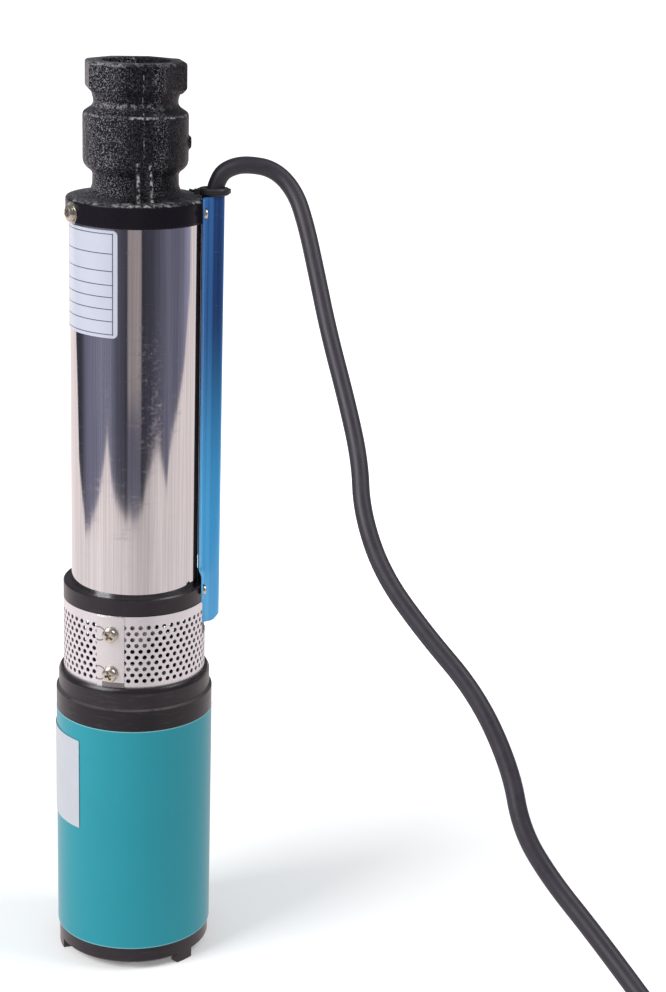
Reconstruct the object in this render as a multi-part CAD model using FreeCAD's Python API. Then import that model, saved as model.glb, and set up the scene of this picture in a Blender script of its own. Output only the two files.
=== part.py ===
import FreeCAD, Part
import math
import os

# Solar submersible pump, millimetres, +Z up. The origin is on the pump's axis, level with
# the undersides of its feet. An azimuth is counted from the front (-Y) towards the cable
# guard, which is at 90 degrees (+X).

# Gaps between pieces
seatGap = 0.1
runGap = 0.05
faceGap = 0.3

# Heights of the outside, from the feet up
footHeight = 4.6
capHeight = 10.8
shellHeight = 145.3
headHeight = 26.3
strainerHeight = 45.2
suctionRingHeight = 10.7
tubeShowing = 219.4
rimHeight = 13.7
castingHeight = 77.2

# Outside radii: the pump's from the motor shell's, and the outlet's from its pipe thread's wall
shellRadius = 48.0
outletBore = 19.48
capRadius = shellRadius - 1.0
headRadius = shellRadius - 1.7
strainerRadius = shellRadius - 4.75
suctionRadius = shellRadius - 4.8
tubeRadius = shellRadius - 9.8
rimRadius = tubeRadius + 2.3
neckRadius = outletBore + 4.82
bulgeRadius = outletBore + 11.02
spannerFlats = 2 * outletBore + 17.04
spannerHeight = 15.2

# Azimuths of the outlet head's features
rimScrewAzimuth = -63.0
castLine = 9.0
spannerCorner = -15.0

# Walls
shellWall = 1.6
strainerSheet = 0.8
tubeWall = 1.2
guardSheet = 1.0
spigotWall = 7.0
labelSheet = 0.2

# Waterway of the outlet head, and the valve in its bulge
outletDepth = 24.0
guideBore = outletBore - 0.98
waterwayBore = outletBore - 2.08
seatPocket = outletBore - 0.5
seatBore = outletBore - 4.98
seatHeight = 7.0
poppetRadius = outletBore - 2.08
stemRadius = 3.5
springWire = 0.6
springTurns = 4

# Feet
footCount = 3
footWidth = 12.0
capRound = 1.5
firstFoot = 43.0

# Shafts and bearings
pumpShaftRadius = 7.0
motorShaftRadius = 8.0
lowerJournal = 7.5
upperJournal = 8.5
lowerBearing = (17.5, 11.0, 3.0)
upperBearing = (20.0, 12.0, 3.4)
ballCount = 8

# Motor
stackInShell = 65.3
rotorShare = 0.583
airGap = 0.6
magnetDepth = 3.0
magnetCount = 8
toothCount = 12
toothWidth = 5.0
yokeDepth = 10.4
coilSide = 3.6
coilOverhang = 6.0
tieBoltRadius = 2.0
tieBoltInset = 4.5
tieBoltCount = 4

# Pump stages
stageCount = 5
stageSpare = 39.4
bowlWall = 1.8
impellerGap = 5.8
hubRadius = 10.5
eyeRadius = 15.0
vaneCount = 5
vaneThickness = 2.0
vaneHeight = 7.0
plateThickness = 2.0
runningClearance = 1.0

# Strainer: the strap covers the band's lapped ends
strapEnd = -8.2
strapStart = -31.0
strapScrew = -19.0
perforationRadius = 1.7
perforationRows = 5
perforationPitch = 8.2
plainEdge = 4.8

# Suction body
legCount = 4
legWidth = 10.0
legDepth = 9.2
boltInset = 7.25
footPlate = 4.0
sealSeatRadius = 14.8

# Cable guard: a folded channel that stands on two flats
guardInset = 0.4
guardDepth = 11.4
guardFoot = 19.0
guardMouth = 11.4
guardCrown = 5.6
guardBend = 1.6
guardTopAbove = 1.1
guardTail = 15.0
ringScrewAbove = 7.8
guardScrewSide = 15.8

# Lead: inside the guard it runs straight, and outside it lies as it is shown
leadRadius = 5.0
heldLeadRadius = 4.9
glandCollar = 7.2
leadExit = (46.2, 0.0, 481.4)
leadLean = 10.3
grommetPlace = 45.3
grommetRadius = 9.1
leadRoute = [
    leadExit,
    (48, 0, 487.5),
    (53, 0, 492.5),
    (63, -1, 495.5),
    (80, -1, 493),
    (92, -8, 481),
    (98, -19, 463),
    (103, -38, 439),
    (109, -60, 409),
    (118, -85, 375),
    (124, -106, 347),
    (124, -124, 323),
    (134, -143, 294),
    (155, -164, 268),
    (182, -189, 241),
    (198, -212, 208),
    (202, -229, 181),
    (216, -244, 160),
    (234, -265, 142),
    (253, -292, 122),
    (279, -335, 95),
    (302, -384, 61),
    (311, -426, 29),
    (308, -463, 9),
    (300, -500, 5),
]
coilCentre = (240.0, -500.0)
coilMiddle = 55.0
tailStart = (205.0, -548.0, 15.0)
tailEnd = (162.0, -517.0, 5.0)
coreLength = 34.0
pinLength = 10.0

# Pan screws: shank radius, head radius, head height
smallScrew = (1.95, 3.3, 2.2)
panScrew = (2.4, 5.0, 3.4)
washer = (6.5, 1.2)

# Labels: first and last azimuth, and share of the height that they stick to
tubeLabel = (-125.0, -15.2, 0.2826)
motorLabel = (-110.0, -43.8, 0.397)
labelBelowRim = 1.0
tubeLabelCorner = 3.0
motorLabelCorner = 0.6
motorLabelBelow = 11.1

# Levels worked out from the heights
capTop = footHeight + capHeight
shellTop = capTop + shellHeight
headTop = shellTop + headHeight
strainerTop = headTop + strainerHeight
suctionTop = strainerTop + suctionRingHeight
rimLow = suctionTop + tubeShowing
rimTop = rimLow + rimHeight
outletTop = rimTop + castingHeight
shellBore = shellRadius - shellWall
spigotRadius = shellBore - seatGap
spigotBore = spigotRadius - spigotWall
tieBoltCircle = spigotRadius - tieBoltInset
stackLength = shellHeight - stackInShell
toothRoot = shellBore - yokeDepth
rotorRadius = toothRoot * rotorShare
tubeBore = tubeRadius - tubeWall
bowlRadius = tubeBore - 2 * seatGap
impellerRadius = bowlRadius - impellerGap
stagePitch = (tubeShowing - stageSpare) / stageCount
suctionInner = tubeRadius - 6.2
legInner = strainerRadius - legDepth
boltCircle = strainerRadius - boltInset
glandPlace = (sealSeatRadius + strainerRadius - strainerSheet) / 2
tubeSocket = 8.0
tubeLow = suctionTop - 6.0
tubeHigh = rimLow + tubeSocket
spigotHigh = suctionTop + 14.1
headFloor = headTop - 2.0
guardTop = rimTop + guardTopAbove
guardLow = strainerTop - guardTail
guardSeat = rimRadius - guardInset
guardOuter = guardSeat + guardDepth
guardLead = tubeRadius + leadRadius + seatGap
rimScrewHeight = rimLow + 6.2
ringScrewHeight = strainerTop + ringScrewAbove
stackLow = capTop + 34.6
stackHigh = stackLow + stackLength
lowerBearingLow = capTop + 4.6
upperBearingLow = shellTop - 10.7
journalGap = 0.5
couplingLow = headTop + 11.5
couplingHigh = strainerTop - 1.0
shaftMeet = (couplingLow + couplingHigh) / 2
valveSeatLow = rimTop + 10.0
valveSeatHigh = valveSeatLow + seatHeight
guideHigh = outletTop - outletDepth
guideLow = guideHigh - 4.0
guideHub = guideLow - 4.0


def vec(x, y, z):
    return FreeCAD.Vector(x, y, z)


def disc(radius, low, high, x=0, y=0):
    return Part.makeCylinder(radius, high - low, vec(x, y, low))


def tube(outer, inner, low, high, x=0, y=0):
    return disc(outer, low, high, x, y).cut(disc(inner, low, high, x, y))


def block(x0, x1, y0, y1, z0, z1):
    return Part.makeBox(x1 - x0, y1 - y0, z1 - z0, vec(x0, y0, z0))


def prism(points, low, high):
    corners = [vec(x, y, low) for x, y in points]
    return Part.Face(Part.makePolygon(corners + corners[:1])).extrude(vec(0, 0, high - low))


def section(points):
    # a closed outline of radius and height; an item with four numbers is an arc by way of a point
    here = vec(points[0][0], 0, points[0][1])
    edges = []
    for item in points[1:] + points[:1]:
        end = vec(item[-2], 0, item[-1])
        if len(item) == 4:
            edges.append(Part.Arc(here, vec(item[0], 0, item[1]), end).toShape())
        elif (end - here).Length > 1e-6:
            edges.append(Part.makeLine(here, end))
        here = end
    return Part.Face(Part.Wire(edges))


def turned(points):
    return section(points).revolve(vec(0, 0, 0), vec(0, 0, 1), 360)


def facing(shape, azimuth):
    # a shape made at +X is turned about the pump's axis
    return shape.rotated(vec(0, 0, 0), vec(0, 0, 1), azimuth - 90)


def around(shape, count, first=0):
    return [facing(shape, first + 360 * k / count) for k in range(count)]


def joined(shapes):
    return shapes[0].fuse(shapes[1:]).removeSplitter()


def sector(outer, inner, low, high, first, last):
    wedge = Part.makeCylinder(outer, high - low, vec(0, 0, low), vec(0, 0, 1), last - first)
    return facing(wedge.cut(disc(inner, low, high)), first)


def rod(radius, start, end):
    way = vec(*end) - vec(*start)
    return Part.makeCylinder(radius, way.Length, vec(*start), way)


def screwAt(screw, seat, depth, y, z):
    # a pan head screw along X with its domed head outside x = seat
    shank, head, height = screw
    rounding = height * 0.45
    profile = [(0, -depth), (shank, -depth), (shank, 0), (head, 0), (head, height - rounding)]
    dome = (head * 0.87, height - rounding * 0.35, head * 0.6, height)
    shape = turned(profile + [dome, (0, height)])
    shape.rotate(vec(0, 0, 0), vec(0, 1, 0), 90)
    return shape.translate(vec(seat, y, z))


def screwHole(screw, seat, depth, y, z):
    return rod(screw[0], (seat - depth, y, z), (seat + 5, y, z))


def bentTube(points, radius):
    # straight runs joined by tangent arcs, each as large as its two runs allow
    places = [vec(*p) for p in points]
    edges, radii, here = [], [], places[0]
    for before, corner, after in zip(places, places[1:], places[2:]):
        a = corner - before
        b = after - corner
        half = a.getAngle(b) / 2
        reach = 0.45 * min(a.Length, b.Length)
        radii.append(reach / math.tan(half))
        start = corner - a.normalize() * reach
        end = corner + b.normalize() * reach
        inward = (b - a).normalize()
        middle = corner + inward * (radii[-1] / math.cos(half) - radii[-1])
        edges.append(Part.makeLine(here, start))
        edges.append(Part.Arc(start, middle, end).toShape())
        here = end
    edges.append(Part.makeLine(here, places[-1]))
    spine = Part.Wire(edges)
    mouth = Part.Wire([Part.makeCircle(radius, places[0], places[1] - places[0])])
    solid = spine.makePipeShell([mouth], True, True)
    share = solid.Volume / (math.pi * radius ** 2 * spine.Length)
    print("lead length %.0f, volume share %.4f" % (spine.Length, share))
    print("arc radii", [round(r) for r in radii])
    return solid


def heldLeadPoints():
    return [
        (glandPlace, 0, headFloor - 8),
        (glandPlace, 0, headFloor + 19),
        (guardLead, 0, strainerTop - 8),
        (guardLead, 0, leadExit[2] - leadLean),
        leadExit,
    ]


def leadChannel():
    return bentTube(heldLeadPoints(), heldLeadRadius + faceGap)


# Base cap with its feet, spigot and lower bearing seat
def foot():
    inner = capRadius - 6
    outer = block(inner, shellRadius, -footWidth / 2, footWidth / 2, 0, footHeight + capRound)
    step = block(inner - 6, inner, -footWidth / 2, footWidth / 2, footHeight / 2, footHeight)
    return outer.fuse(step)


def baseCap():
    ringDepth = 1.9
    spigotTop = capTop + 12
    bossRadius = lowerBearing[0] + 4.5
    bearingTop = lowerBearingLow + lowerBearing[1]
    body = turned([
        (0, footHeight + 2.4), (capRadius - 14, footHeight + 2.4), (capRadius - 12, footHeight),
        (capRadius - capRound, footHeight), (capRadius, footHeight + capRound), (capRadius, capTop - 0.6),
        (shellRadius, capTop),
        (spigotRadius, capTop), (spigotRadius, capTop + 4), (spigotRadius - ringDepth, capTop + 4),
        (spigotRadius - ringDepth, capTop + 6.6), (spigotRadius, capTop + 6.6),
        (spigotRadius, spigotTop - 1), (spigotRadius - 1, spigotTop), (spigotBore, spigotTop),
        (spigotBore, capTop + 3), (spigotBore - 3, capTop), (bossRadius + 3, capTop),
        (bossRadius, capTop + 3), (bossRadius, bearingTop), (lowerBearing[0], bearingTop),
        (lowerBearing[0], lowerBearingLow), (lowerBearing[0] - 4, lowerBearingLow),
        (lowerBearing[0] - 4, lowerBearingLow - 3), (0, lowerBearingLow - 3),
    ])
    reach = disc(capRadius, 0, footHeight + capRound)
    feet = [f.common(reach) for f in around(foot(), footCount, firstFoot)]
    ribs = around(block(bossRadius - 1, spigotBore + 1, -1.5, 1.5, capTop - 1, capTop + 9), 8, 22.5)
    cap = joined([body] + feet + ribs)
    bolt = disc(tieBoltRadius + seatGap, footHeight, spigotTop, tieBoltCircle, 0)
    sink = disc(tieBoltRadius + 2.2, footHeight - 1, footHeight + 5.5, tieBoltCircle, 0)
    return cap.cut(around(bolt.fuse(sink), tieBoltCount))


# Motor shell and the head that closes it
def motorShell():
    return tube(shellRadius, shellBore, capTop, shellTop)


def motorHead():
    step = shellTop + 12.9
    lip = headTop - 2.4
    groove = strainerRadius - strainerSheet
    boss = upperBearing[0] + 4.5
    body = turned([
        (upperJournal + 1, shellTop + 2), (upperBearing[0] - 4, shellTop + 2),
        (upperBearing[0] - 4, upperBearingLow + upperBearing[1] - journalGap),
        (upperBearing[0], upperBearingLow + upperBearing[1] - journalGap),
        (upperBearing[0], upperBearingLow), (boss, upperBearingLow), (boss, shellTop - 1),
        (boss + 3, shellTop + 2), (spigotBore - 3, shellTop + 2), (spigotBore, shellTop - 1),
        (spigotBore, shellTop - 12), (spigotRadius - 1, shellTop - 12), (spigotRadius, shellTop - 11),
        (spigotRadius, shellTop - 6.6), (spigotRadius - 1.9, shellTop - 6.6),
        (spigotRadius - 1.9, shellTop - 4), (spigotRadius, shellTop - 4), (spigotRadius, shellTop),
        (shellRadius - 0.1, shellTop), (shellRadius - 0.1, step), (headRadius, step + 0.8),
        (headRadius, lip - 0.2), (headRadius * 0.991, lip + 1.0, headRadius - 1.4, headTop),
        (groove + strainerSheet + 0.35, headTop), (groove + strainerSheet + 0.35, headFloor - 0.8),
        (groove - 0.25, headFloor - 0.8), (groove - 0.25, headFloor), (sealSeatRadius, headFloor),
        (sealSeatRadius, headFloor - 6), (upperJournal + 1, headFloor - 6),
    ])
    cableHole = disc(leadRadius + 1.2, shellTop, headFloor, glandPlace, 0)
    glandSeat = disc(glandCollar, headFloor - 3, headFloor, glandPlace, 0)
    drilled = disc(2.6, headFloor - 9, headFloor, boltCircle, 0)
    bolt = disc(tieBoltRadius, shellTop - 12, shellTop - 3, tieBoltCircle, 0)
    holes = around(drilled, legCount, strapScrew + 180 / legCount) + around(bolt, tieBoltCount)
    return body.cut([cableHole, glandSeat] + holes)


def tieBolts():
    head = disc(tieBoltRadius + 1.9, footHeight + 1.6, footHeight + 5.5, tieBoltCircle, 0)
    socket = prism(hexagon(3.0, tieBoltCircle), footHeight + 1.6, footHeight + 3.6)
    stem = disc(tieBoltRadius, footHeight + 5.5, shellTop - 3.5, tieBoltCircle, 0)
    return Part.makeCompound(around(head.fuse(stem).cut(socket), tieBoltCount))


def hexagon(flats, x=0.0, y=0.0, turn=0.0):
    corner = flats / 2 / math.cos(math.pi / 6)
    angles = [math.radians(60 * k + turn) for k in range(6)]
    return [(x + corner * math.cos(a), y + corner * math.sin(a)) for a in angles]


def sealingRing(low, depth=1.9):
    # a round rubber ring squeezed into its groove under the shell
    height = 2.4
    return tube(spigotRadius, spigotRadius - depth, low + 0.1, low + 0.1 + height)


# Motor inside: stator, coils, rotor, magnets, shaft and bearings
def statorCore():
    outer = shellBore - seatGap
    inner = rotorRadius + airGap
    yoke = tube(outer, toothRoot, stackLow, stackHigh)
    tooth = block(inner + 0.5, toothRoot + 1, -toothWidth / 2, toothWidth / 2, stackLow, stackHigh)
    shoe = block(inner - 1, inner + 2.4, -toothWidth / 2 - 2, toothWidth / 2 + 2, stackLow, stackHigh)
    core = joined([yoke] + around(tooth.fuse(shoe), toothCount)).cut(disc(inner, stackLow, stackHigh))
    slot = disc(tieBoltRadius + 0.4, stackLow, stackHigh, tieBoltCircle, 0)
    return core.cut(around(slot, tieBoltCount))


def statorWindings():
    inside = toothWidth / 2 + seatGap
    outside = inside + coilSide
    low = stackLow - seatGap
    high = stackHigh + seatGap
    first = rotorRadius + airGap + 5.4
    last = toothRoot - 1.2
    coil = block(first, last, -outside, outside, low - coilOverhang, high + coilOverhang)
    return Part.makeCompound(around(coil.cut(block(first, last, -inside, inside, low, high)), toothCount))


def rotorCore():
    return tube(rotorRadius - magnetDepth - runGap, upperJournal + 1 + runGap, stackLow, stackHigh)


def rotorMagnets():
    arc = 360 / magnetCount
    inner = rotorRadius - magnetDepth
    one = sector(rotorRadius, inner, stackLow + 1, stackHigh - 1, 1.5, arc - 1.5)
    return Part.makeCompound(around(one, magnetCount, 90))


def motorShaft():
    body = upperJournal + 1
    neckTop = upperBearingLow + upperBearing[1] - journalGap
    keyway = block(motorShaftRadius - 2, motorShaftRadius + 1, -2, 2, couplingLow + 3, shaftMeet)
    shaft = turned([
        (0, lowerBearingLow - 1), (lowerJournal - 0.6, lowerBearingLow - 1),
        (lowerJournal, lowerBearingLow), (lowerJournal, lowerBearingLow + lowerBearing[1]),
        (body, lowerBearingLow + lowerBearing[1]), (body, upperBearingLow),
        (upperJournal, upperBearingLow), (upperJournal, neckTop + 1),
        (motorShaftRadius, neckTop + 2), (motorShaftRadius, shaftMeet - 0.9),
        (motorShaftRadius - 0.6, shaftMeet - 0.3), (0, shaftMeet - 0.3),
    ])
    return shaft.cut(keyway)


def bearingRings(size, bore, low, height):
    outer, width, ball = size
    middle = (outer + bore) / 2
    centre = low + height / 2
    track = Part.makeTorus(middle, ball + runGap, vec(0, 0, centre))
    outerRing = tube(outer, middle + ball * 0.72, low, low + height).cut(track)
    innerRing = tube(middle - ball * 0.72, bore, low, low + height).cut(track)
    balls = around(bearingBall(ball, middle, centre), ballCount)
    return outerRing, innerRing, Part.makeCompound(balls)


# Shaft seal on the motor head, and the coupling above it
def sealSeat():
    return tube(sealSeatRadius, motorShaftRadius + 0.8, headFloor - 6, headFloor)


def sealRing():
    return turned([
        (motorShaftRadius, headFloor + faceGap), (12, headFloor + faceGap), (12, headFloor + 2.3),
        (13, headFloor + 2.3), (13, headFloor + 5.3), (motorShaftRadius, headFloor + 5.3),
    ])


def skinned(rings):
    # a closed solid over a row of point rings, each joined to the next by flat triangles
    faces = []
    for ring in (rings[0], rings[-1]):
        faces.append(Part.Face(Part.makePolygon(ring + ring[:1])))
    for low, high in zip(rings, rings[1:]):
        count = len(low)
        for k in range(count):
            after = (k + 1) % count
            for corners in ((low[k], low[after], high[after]), (low[k], high[after], high[k])):
                faces.append(Part.Face(Part.makePolygon(list(corners) + [corners[0]])))
    solid = Part.makeSolid(Part.makeShell(faces))
    return solid if solid.Volume > 0 else solid.reversed()


def coilSpring(middle, wire, low, high, turns, steps=12):
    # a helix of square wire
    rise = high - low - 2 * wire
    rings = []
    for k in range(turns * steps + 1):
        angle = 2 * math.pi * k / steps
        height = low + wire + rise * k / (turns * steps)
        corners = ((-wire, -wire), (wire, -wire), (wire, wire), (-wire, wire))
        rings.append([vec((middle + a) * math.cos(angle), (middle + a) * math.sin(angle), height + b)
                      for a, b in corners])
    return skinned(rings)


def bearingBall(radius, x, z, sides=8, tiers=6):
    # a ball with flat facets
    rings = []
    for k in range(1, tiers):
        latitude = math.pi * (k / tiers - 0.5)
        reach = radius * math.cos(latitude)
        height = z + radius * math.sin(latitude)
        rings.append([vec(x + reach * math.cos(2 * math.pi * j / sides),
                          reach * math.sin(2 * math.pi * j / sides), height) for j in range(sides)])
    return skinned(rings)


def sealBellows():
    # rubber sleeve with two folds that presses the running ring on its seat
    low = headFloor + 5.3
    fold = (couplingLow - low) / 4
    points = [(motorShaftRadius, low), (motorShaftRadius + 4, low)]
    for k in range(1, 4):
        points.append((motorShaftRadius + (1.8 if k % 2 else 4), low + k * fold))
    return turned(points + [(motorShaftRadius + 1.8, couplingLow), (motorShaftRadius, couplingLow)])


def shaftCoupling():
    body = turned([
        (motorShaftRadius, couplingLow), (12, couplingLow), (13, couplingLow + 1),
        (13, couplingHigh - 1), (12, couplingHigh), (pumpShaftRadius, couplingHigh),
        (pumpShaftRadius, shaftMeet), (motorShaftRadius, shaftMeet),
    ])
    holes = [rod(2.5, (motorShaftRadius - 2, 0, z), (14, 0, z)) for z in couplingScrewHeights()]
    return body.cut(holes)


def couplingScrewHeights():
    return (couplingLow + 6, couplingHigh - 6)


def couplingScrews():
    low, high = couplingScrewHeights()
    lowScrew = rod(2.5, (motorShaftRadius, 0, low), (12.4, 0, low))
    highScrew = rod(2.5, (pumpShaftRadius, 0, high), (12.4, 0, high))
    return Part.makeCompound([lowScrew, highScrew])


# Gland in the motor head, and the lead that the guard holds
def cableGland():
    body = disc(glandCollar, headFloor - 3, headFloor, glandPlace, 0).fuse(
        prism(hexagon(14, glandPlace), headFloor, headFloor + 4))
    cone = Part.makeCone(6.6, 5.6, 7, vec(glandPlace, 0, headFloor + 4))
    bore = disc(heldLeadRadius + seatGap, headFloor - 3, headFloor + 11, glandPlace, 0)
    return joined([body, cone]).cut(bore)


def heldLead():
    return bentTube(heldLeadPoints(), heldLeadRadius)


# Suction body: ring, spokes and bearing hub, four legs and the plate that they stand on
def suctionBody():
    ringLow = strainerTop
    ring = turned([
        (suctionInner, ringLow), (suctionRadius - 0.6, ringLow), (suctionRadius, ringLow + 0.6),
        (suctionRadius, suctionTop - 0.8), (suctionRadius - 0.8, suctionTop),
        (tubeRadius + seatGap, suctionTop), (tubeRadius + seatGap, tubeLow), (bowlRadius, tubeLow),
        (bowlRadius, spigotHigh), (eyeRadius + 1, spigotHigh), (eyeRadius + 1, spigotHigh - 2),
        (suctionInner - 2, spigotHigh - 2), (suctionInner, spigotHigh - 5),
    ])
    hub = tube(11.5, pumpShaftRadius + runGap, ringLow + 2, spigotHigh - 3)
    spokes = around(block(10.5, suctionInner + 1, -2.5, 2.5, ringLow + 2, ringLow + 10), legCount, strapScrew)
    legOuter = strainerRadius - strainerSheet - seatGap
    leg = block(legInner, suctionRadius, -legWidth / 2, legWidth / 2, headFloor, strainerTop)
    legs = [shape.common(disc(legOuter, headFloor, strainerTop)) for shape in around(leg, legCount, strapScrew)]
    plate = tube(legOuter - 0.4, legInner - 4, headFloor, headFloor + footPlate)
    body = joined([ring, hub, plate] + spokes + legs)
    guardFlat = block(guardSeat, suctionRadius + 1, -guardFoot - 1, guardFoot + 1, ringLow, suctionTop)
    tailRoom = block(guardSeat - faceGap, suctionRadius + 1, -guardMouth - 1, guardMouth + 1, guardLow - 2, ringLow)
    glandRoom = disc(9.5, headFloor, headFloor + footPlate, glandPlace, 0)
    boltHoles = around(disc(2.5, headFloor, headFloor + footPlate, boltCircle, 0), legCount, strapScrew + 180 / legCount)
    strapHoles = [facing(screwHole(panScrew, legOuter, 8, 0, z), strapScrew) for z in strapScrewHeights()]
    guardHoles = [screwHole(smallScrew, guardSeat, 4.1, y, ringScrewHeight) for y in (-guardScrewSide, guardScrewSide)]
    return body.cut([guardFlat, tailRoom, glandRoom, leadChannel()] + boltHoles + strapHoles + guardHoles)


def suctionBolts():
    head = prism(hexagon(8, boltCircle), headFloor + footPlate, headFloor + footPlate + 3.5)
    bolt = head.fuse(disc(2.5, headFloor - 8.5, headFloor + footPlate, boltCircle, 0))
    return Part.makeCompound(around(bolt, legCount, strapScrew + 180 / legCount))


# Strainer band, its lapped strap and its perforations
def strapScrewHeights():
    return (headTop + 8.6, headTop + 33.5)


def perforations(low, high):
    # staggered rows of six-sided holes round the band, clear of the strap and of the guard's window
    radius = strainerRadius
    columns = round(2 * math.pi * radius / perforationPitch)
    stepAngle = 360 / columns
    rowPitch = (high - low - 2 * plainEdge) / (perforationRows - 1)
    hole = prism(hexagon(2 * perforationRadius), 0, 4 * strainerSheet)
    hole.rotate(vec(0, 0, 0), vec(0, 1, 0), 90)
    hole.translate(vec(radius - 3 * strainerSheet, 0, 0))
    margin = math.degrees(3 * perforationRadius / radius)
    holes = []
    for row in range(perforationRows):
        height = low + plainEdge + row * rowPitch
        for column in range(columns):
            azimuth = (column + 0.5 * (row % 2)) * stepAngle
            onStrap = (azimuth - strapStart + margin) % 360 < strapEnd - strapStart + 2 * margin
            besideGuard = abs(azimuth - 90) < 22 and height > guardLow - 8
            if not onStrap and not besideGuard:
                holes.append(facing(hole.translated(vec(0, 0, height)), azimuth))
    return holes


def strainerScreen():
    inner = strainerRadius - strainerSheet
    low = headFloor - 0.5
    band = sector(strainerRadius, inner, low, strainerTop, strapEnd - 10, strapStart + 362)
    strapLow = headTop + faceGap
    strap = sector(strainerRadius + strainerSheet, strainerRadius, strapLow, strainerTop - faceGap,
                   strapStart, strapEnd)
    window = block(strainerRadius - 6, strainerRadius + 2, -13.8, 13.8, guardLow - 4, strainerTop)
    strapHoles = [facing(screwHole(panScrew, inner, 2, 0, z), strapScrew) for z in strapScrewHeights()]
    screen = band.fuse(strap).cut([window] + strapHoles)
    return screen.cut(perforations(headTop, strainerTop))


def strainerScrews():
    seat = strainerRadius + strainerSheet
    return Part.makeCompound([facing(screwAt(panScrew, seat, 8, 0, z), strapScrew)
                              for z in strapScrewHeights()])


# Pump tube, stages, shaft and top bearing
def pumpTube():
    shell = tube(tubeRadius, tubeBore, tubeLow, tubeHigh)
    return shell.cut(facing(screwHole(panScrew, tubeRadius, 3, 0, rimScrewHeight), rimScrewAzimuth))


def curvedVane(inner, outer, low, high, lean):
    # a vane that leans along an arc from the hub to the rim, as thick there as at its root
    spine = [(inner, 0), ((inner + outer) / 2, lean * 0.42), (outer, lean)]
    sides = []
    for side in (-0.7, 0.7):
        turns = [math.radians(angle) + side * vaneThickness / radius for radius, angle in spine]
        sides.append([vec(radius * math.cos(turn), radius * math.sin(turn), low)
                      for (radius, angle), turn in zip(spine, turns)])
    near, far = sides
    edges = [Part.Arc(*near).toShape(), Part.makeLine(near[2], far[2]),
             Part.Arc(far[2], far[1], far[0]).toShape(), Part.makeLine(far[0], near[0])]
    return Part.Face(Part.Wire(edges)).extrude(vec(0, 0, high - low))


def impeller(low):
    # eye ring, front shroud, backward vanes, back shroud and hub
    front = low + 4
    back = front + 1.5 + vaneHeight
    shrouds = turned([
        (eyeRadius, low), (eyeRadius, front), (impellerRadius, front), (impellerRadius, front + 1.5),
        (eyeRadius - 1, front + 1.5), (eyeRadius - 1.5, front), (eyeRadius - 1.5, low),
    ])
    plate = turned([
        (pumpShaftRadius, low + 2), (hubRadius - 2, low + 2), (hubRadius, back - 2), (impellerRadius, back),
        (impellerRadius, back + 1.5), (hubRadius, back + 1.5), (hubRadius, back + 3),
        (pumpShaftRadius, back + 3),
    ])
    vane = curvedVane(hubRadius - 1, impellerRadius, front + 0.7, back + 0.7, -58)
    trim = disc(impellerRadius, low, back + 3).cut(disc(hubRadius - 1.5, low, back + 3))
    vanes = [v.common(trim) for v in around(vane, vaneCount)]
    return joined([shrouds, plate] + vanes)


def diffuserBowl(low):
    # outer wall, stage plate under the vanes, return vanes and the eye of the next stage
    plateLow = low + 17
    top = low + stagePitch
    wall = tube(bowlRadius, bowlRadius - bowlWall, low, top)
    plate = tube(impellerRadius + 0.8, pumpShaftRadius + faceGap, plateLow, plateLow + plateThickness)
    hub = tube(hubRadius - 1, pumpShaftRadius + faceGap, plateLow, top - 3)
    roof = tube(bowlRadius - 0.5, eyeRadius + runningClearance, top - plateThickness, top)
    vane = curvedVane(hubRadius - 2, bowlRadius - 0.6, plateLow + 1, top - 1, 64)
    trim = disc(bowlRadius - 0.6, plateLow, top).cut(disc(hubRadius - 1.6, plateLow, top))
    vanes = [v.common(trim) for v in around(vane, vaneCount)]
    eye = disc(eyeRadius + runningClearance, top - plateThickness, top).cut(
        disc(hubRadius + 2, top - plateThickness, top))
    return joined([wall, plate, hub, roof] + vanes).cut(eye)


def pumpShaft():
    low = shaftMeet + faceGap
    high = tubeHigh - 2
    return turned([
        (0, low), (pumpShaftRadius - 0.6, low), (pumpShaftRadius, low + 0.6), (pumpShaftRadius, high - 9),
        (pumpShaftRadius - 1.5, high - 9), (pumpShaftRadius - 1.5, high), (0, high),
    ])


def shaftNut():
    low = tubeHigh - 10.7
    return prism(hexagon(17), low, low + 6).cut(disc(pumpShaftRadius - 1.5, low, low + 6))


def topBearingCarrier():
    low = spigotHigh + stageCount * stagePitch
    hubLow = low + 12
    hubHigh = tubeHigh - 13.5
    wall = tube(bowlRadius, bowlRadius - bowlWall, low, tubeHigh)
    hub = tube(13, hubRadius, hubLow, hubHigh)
    spokes = around(block(12.4, bowlRadius - 1, -2, 2, hubLow + 1, hubHigh - 1), 4, 45)
    hole = facing(screwHole(panScrew, bowlRadius, 3, 0, rimScrewHeight), rimScrewAzimuth)
    return joined([wall, hub] + spokes).cut(hole)


def topBearingBush():
    low = spigotHigh + stageCount * stagePitch + 12
    return tube(hubRadius, pumpShaftRadius + runGap, low, tubeHigh - 13.5)


# Outlet head: one casting, turned form with a spanner octagon, two ribs and a small boss
def spannerHead():
    corner = spannerFlats / 2 / math.cos(math.pi / 8)
    angles = [math.radians(spannerCorner - 90 + 45 * k) for k in range(8)]
    low = outletTop - spannerHeight
    outline = [(corner * math.cos(a), corner * math.sin(a)) for a in angles]
    body = prism(outline, low, outletTop)
    cone = turned([
        (0, low), (corner - 0.8, low), (corner + 0.4, low + 1.2), (corner + 0.4, outletTop - 1.5),
        (corner - 1.6, outletTop), (0, outletTop),
    ])
    return body.common(cone)


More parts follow.
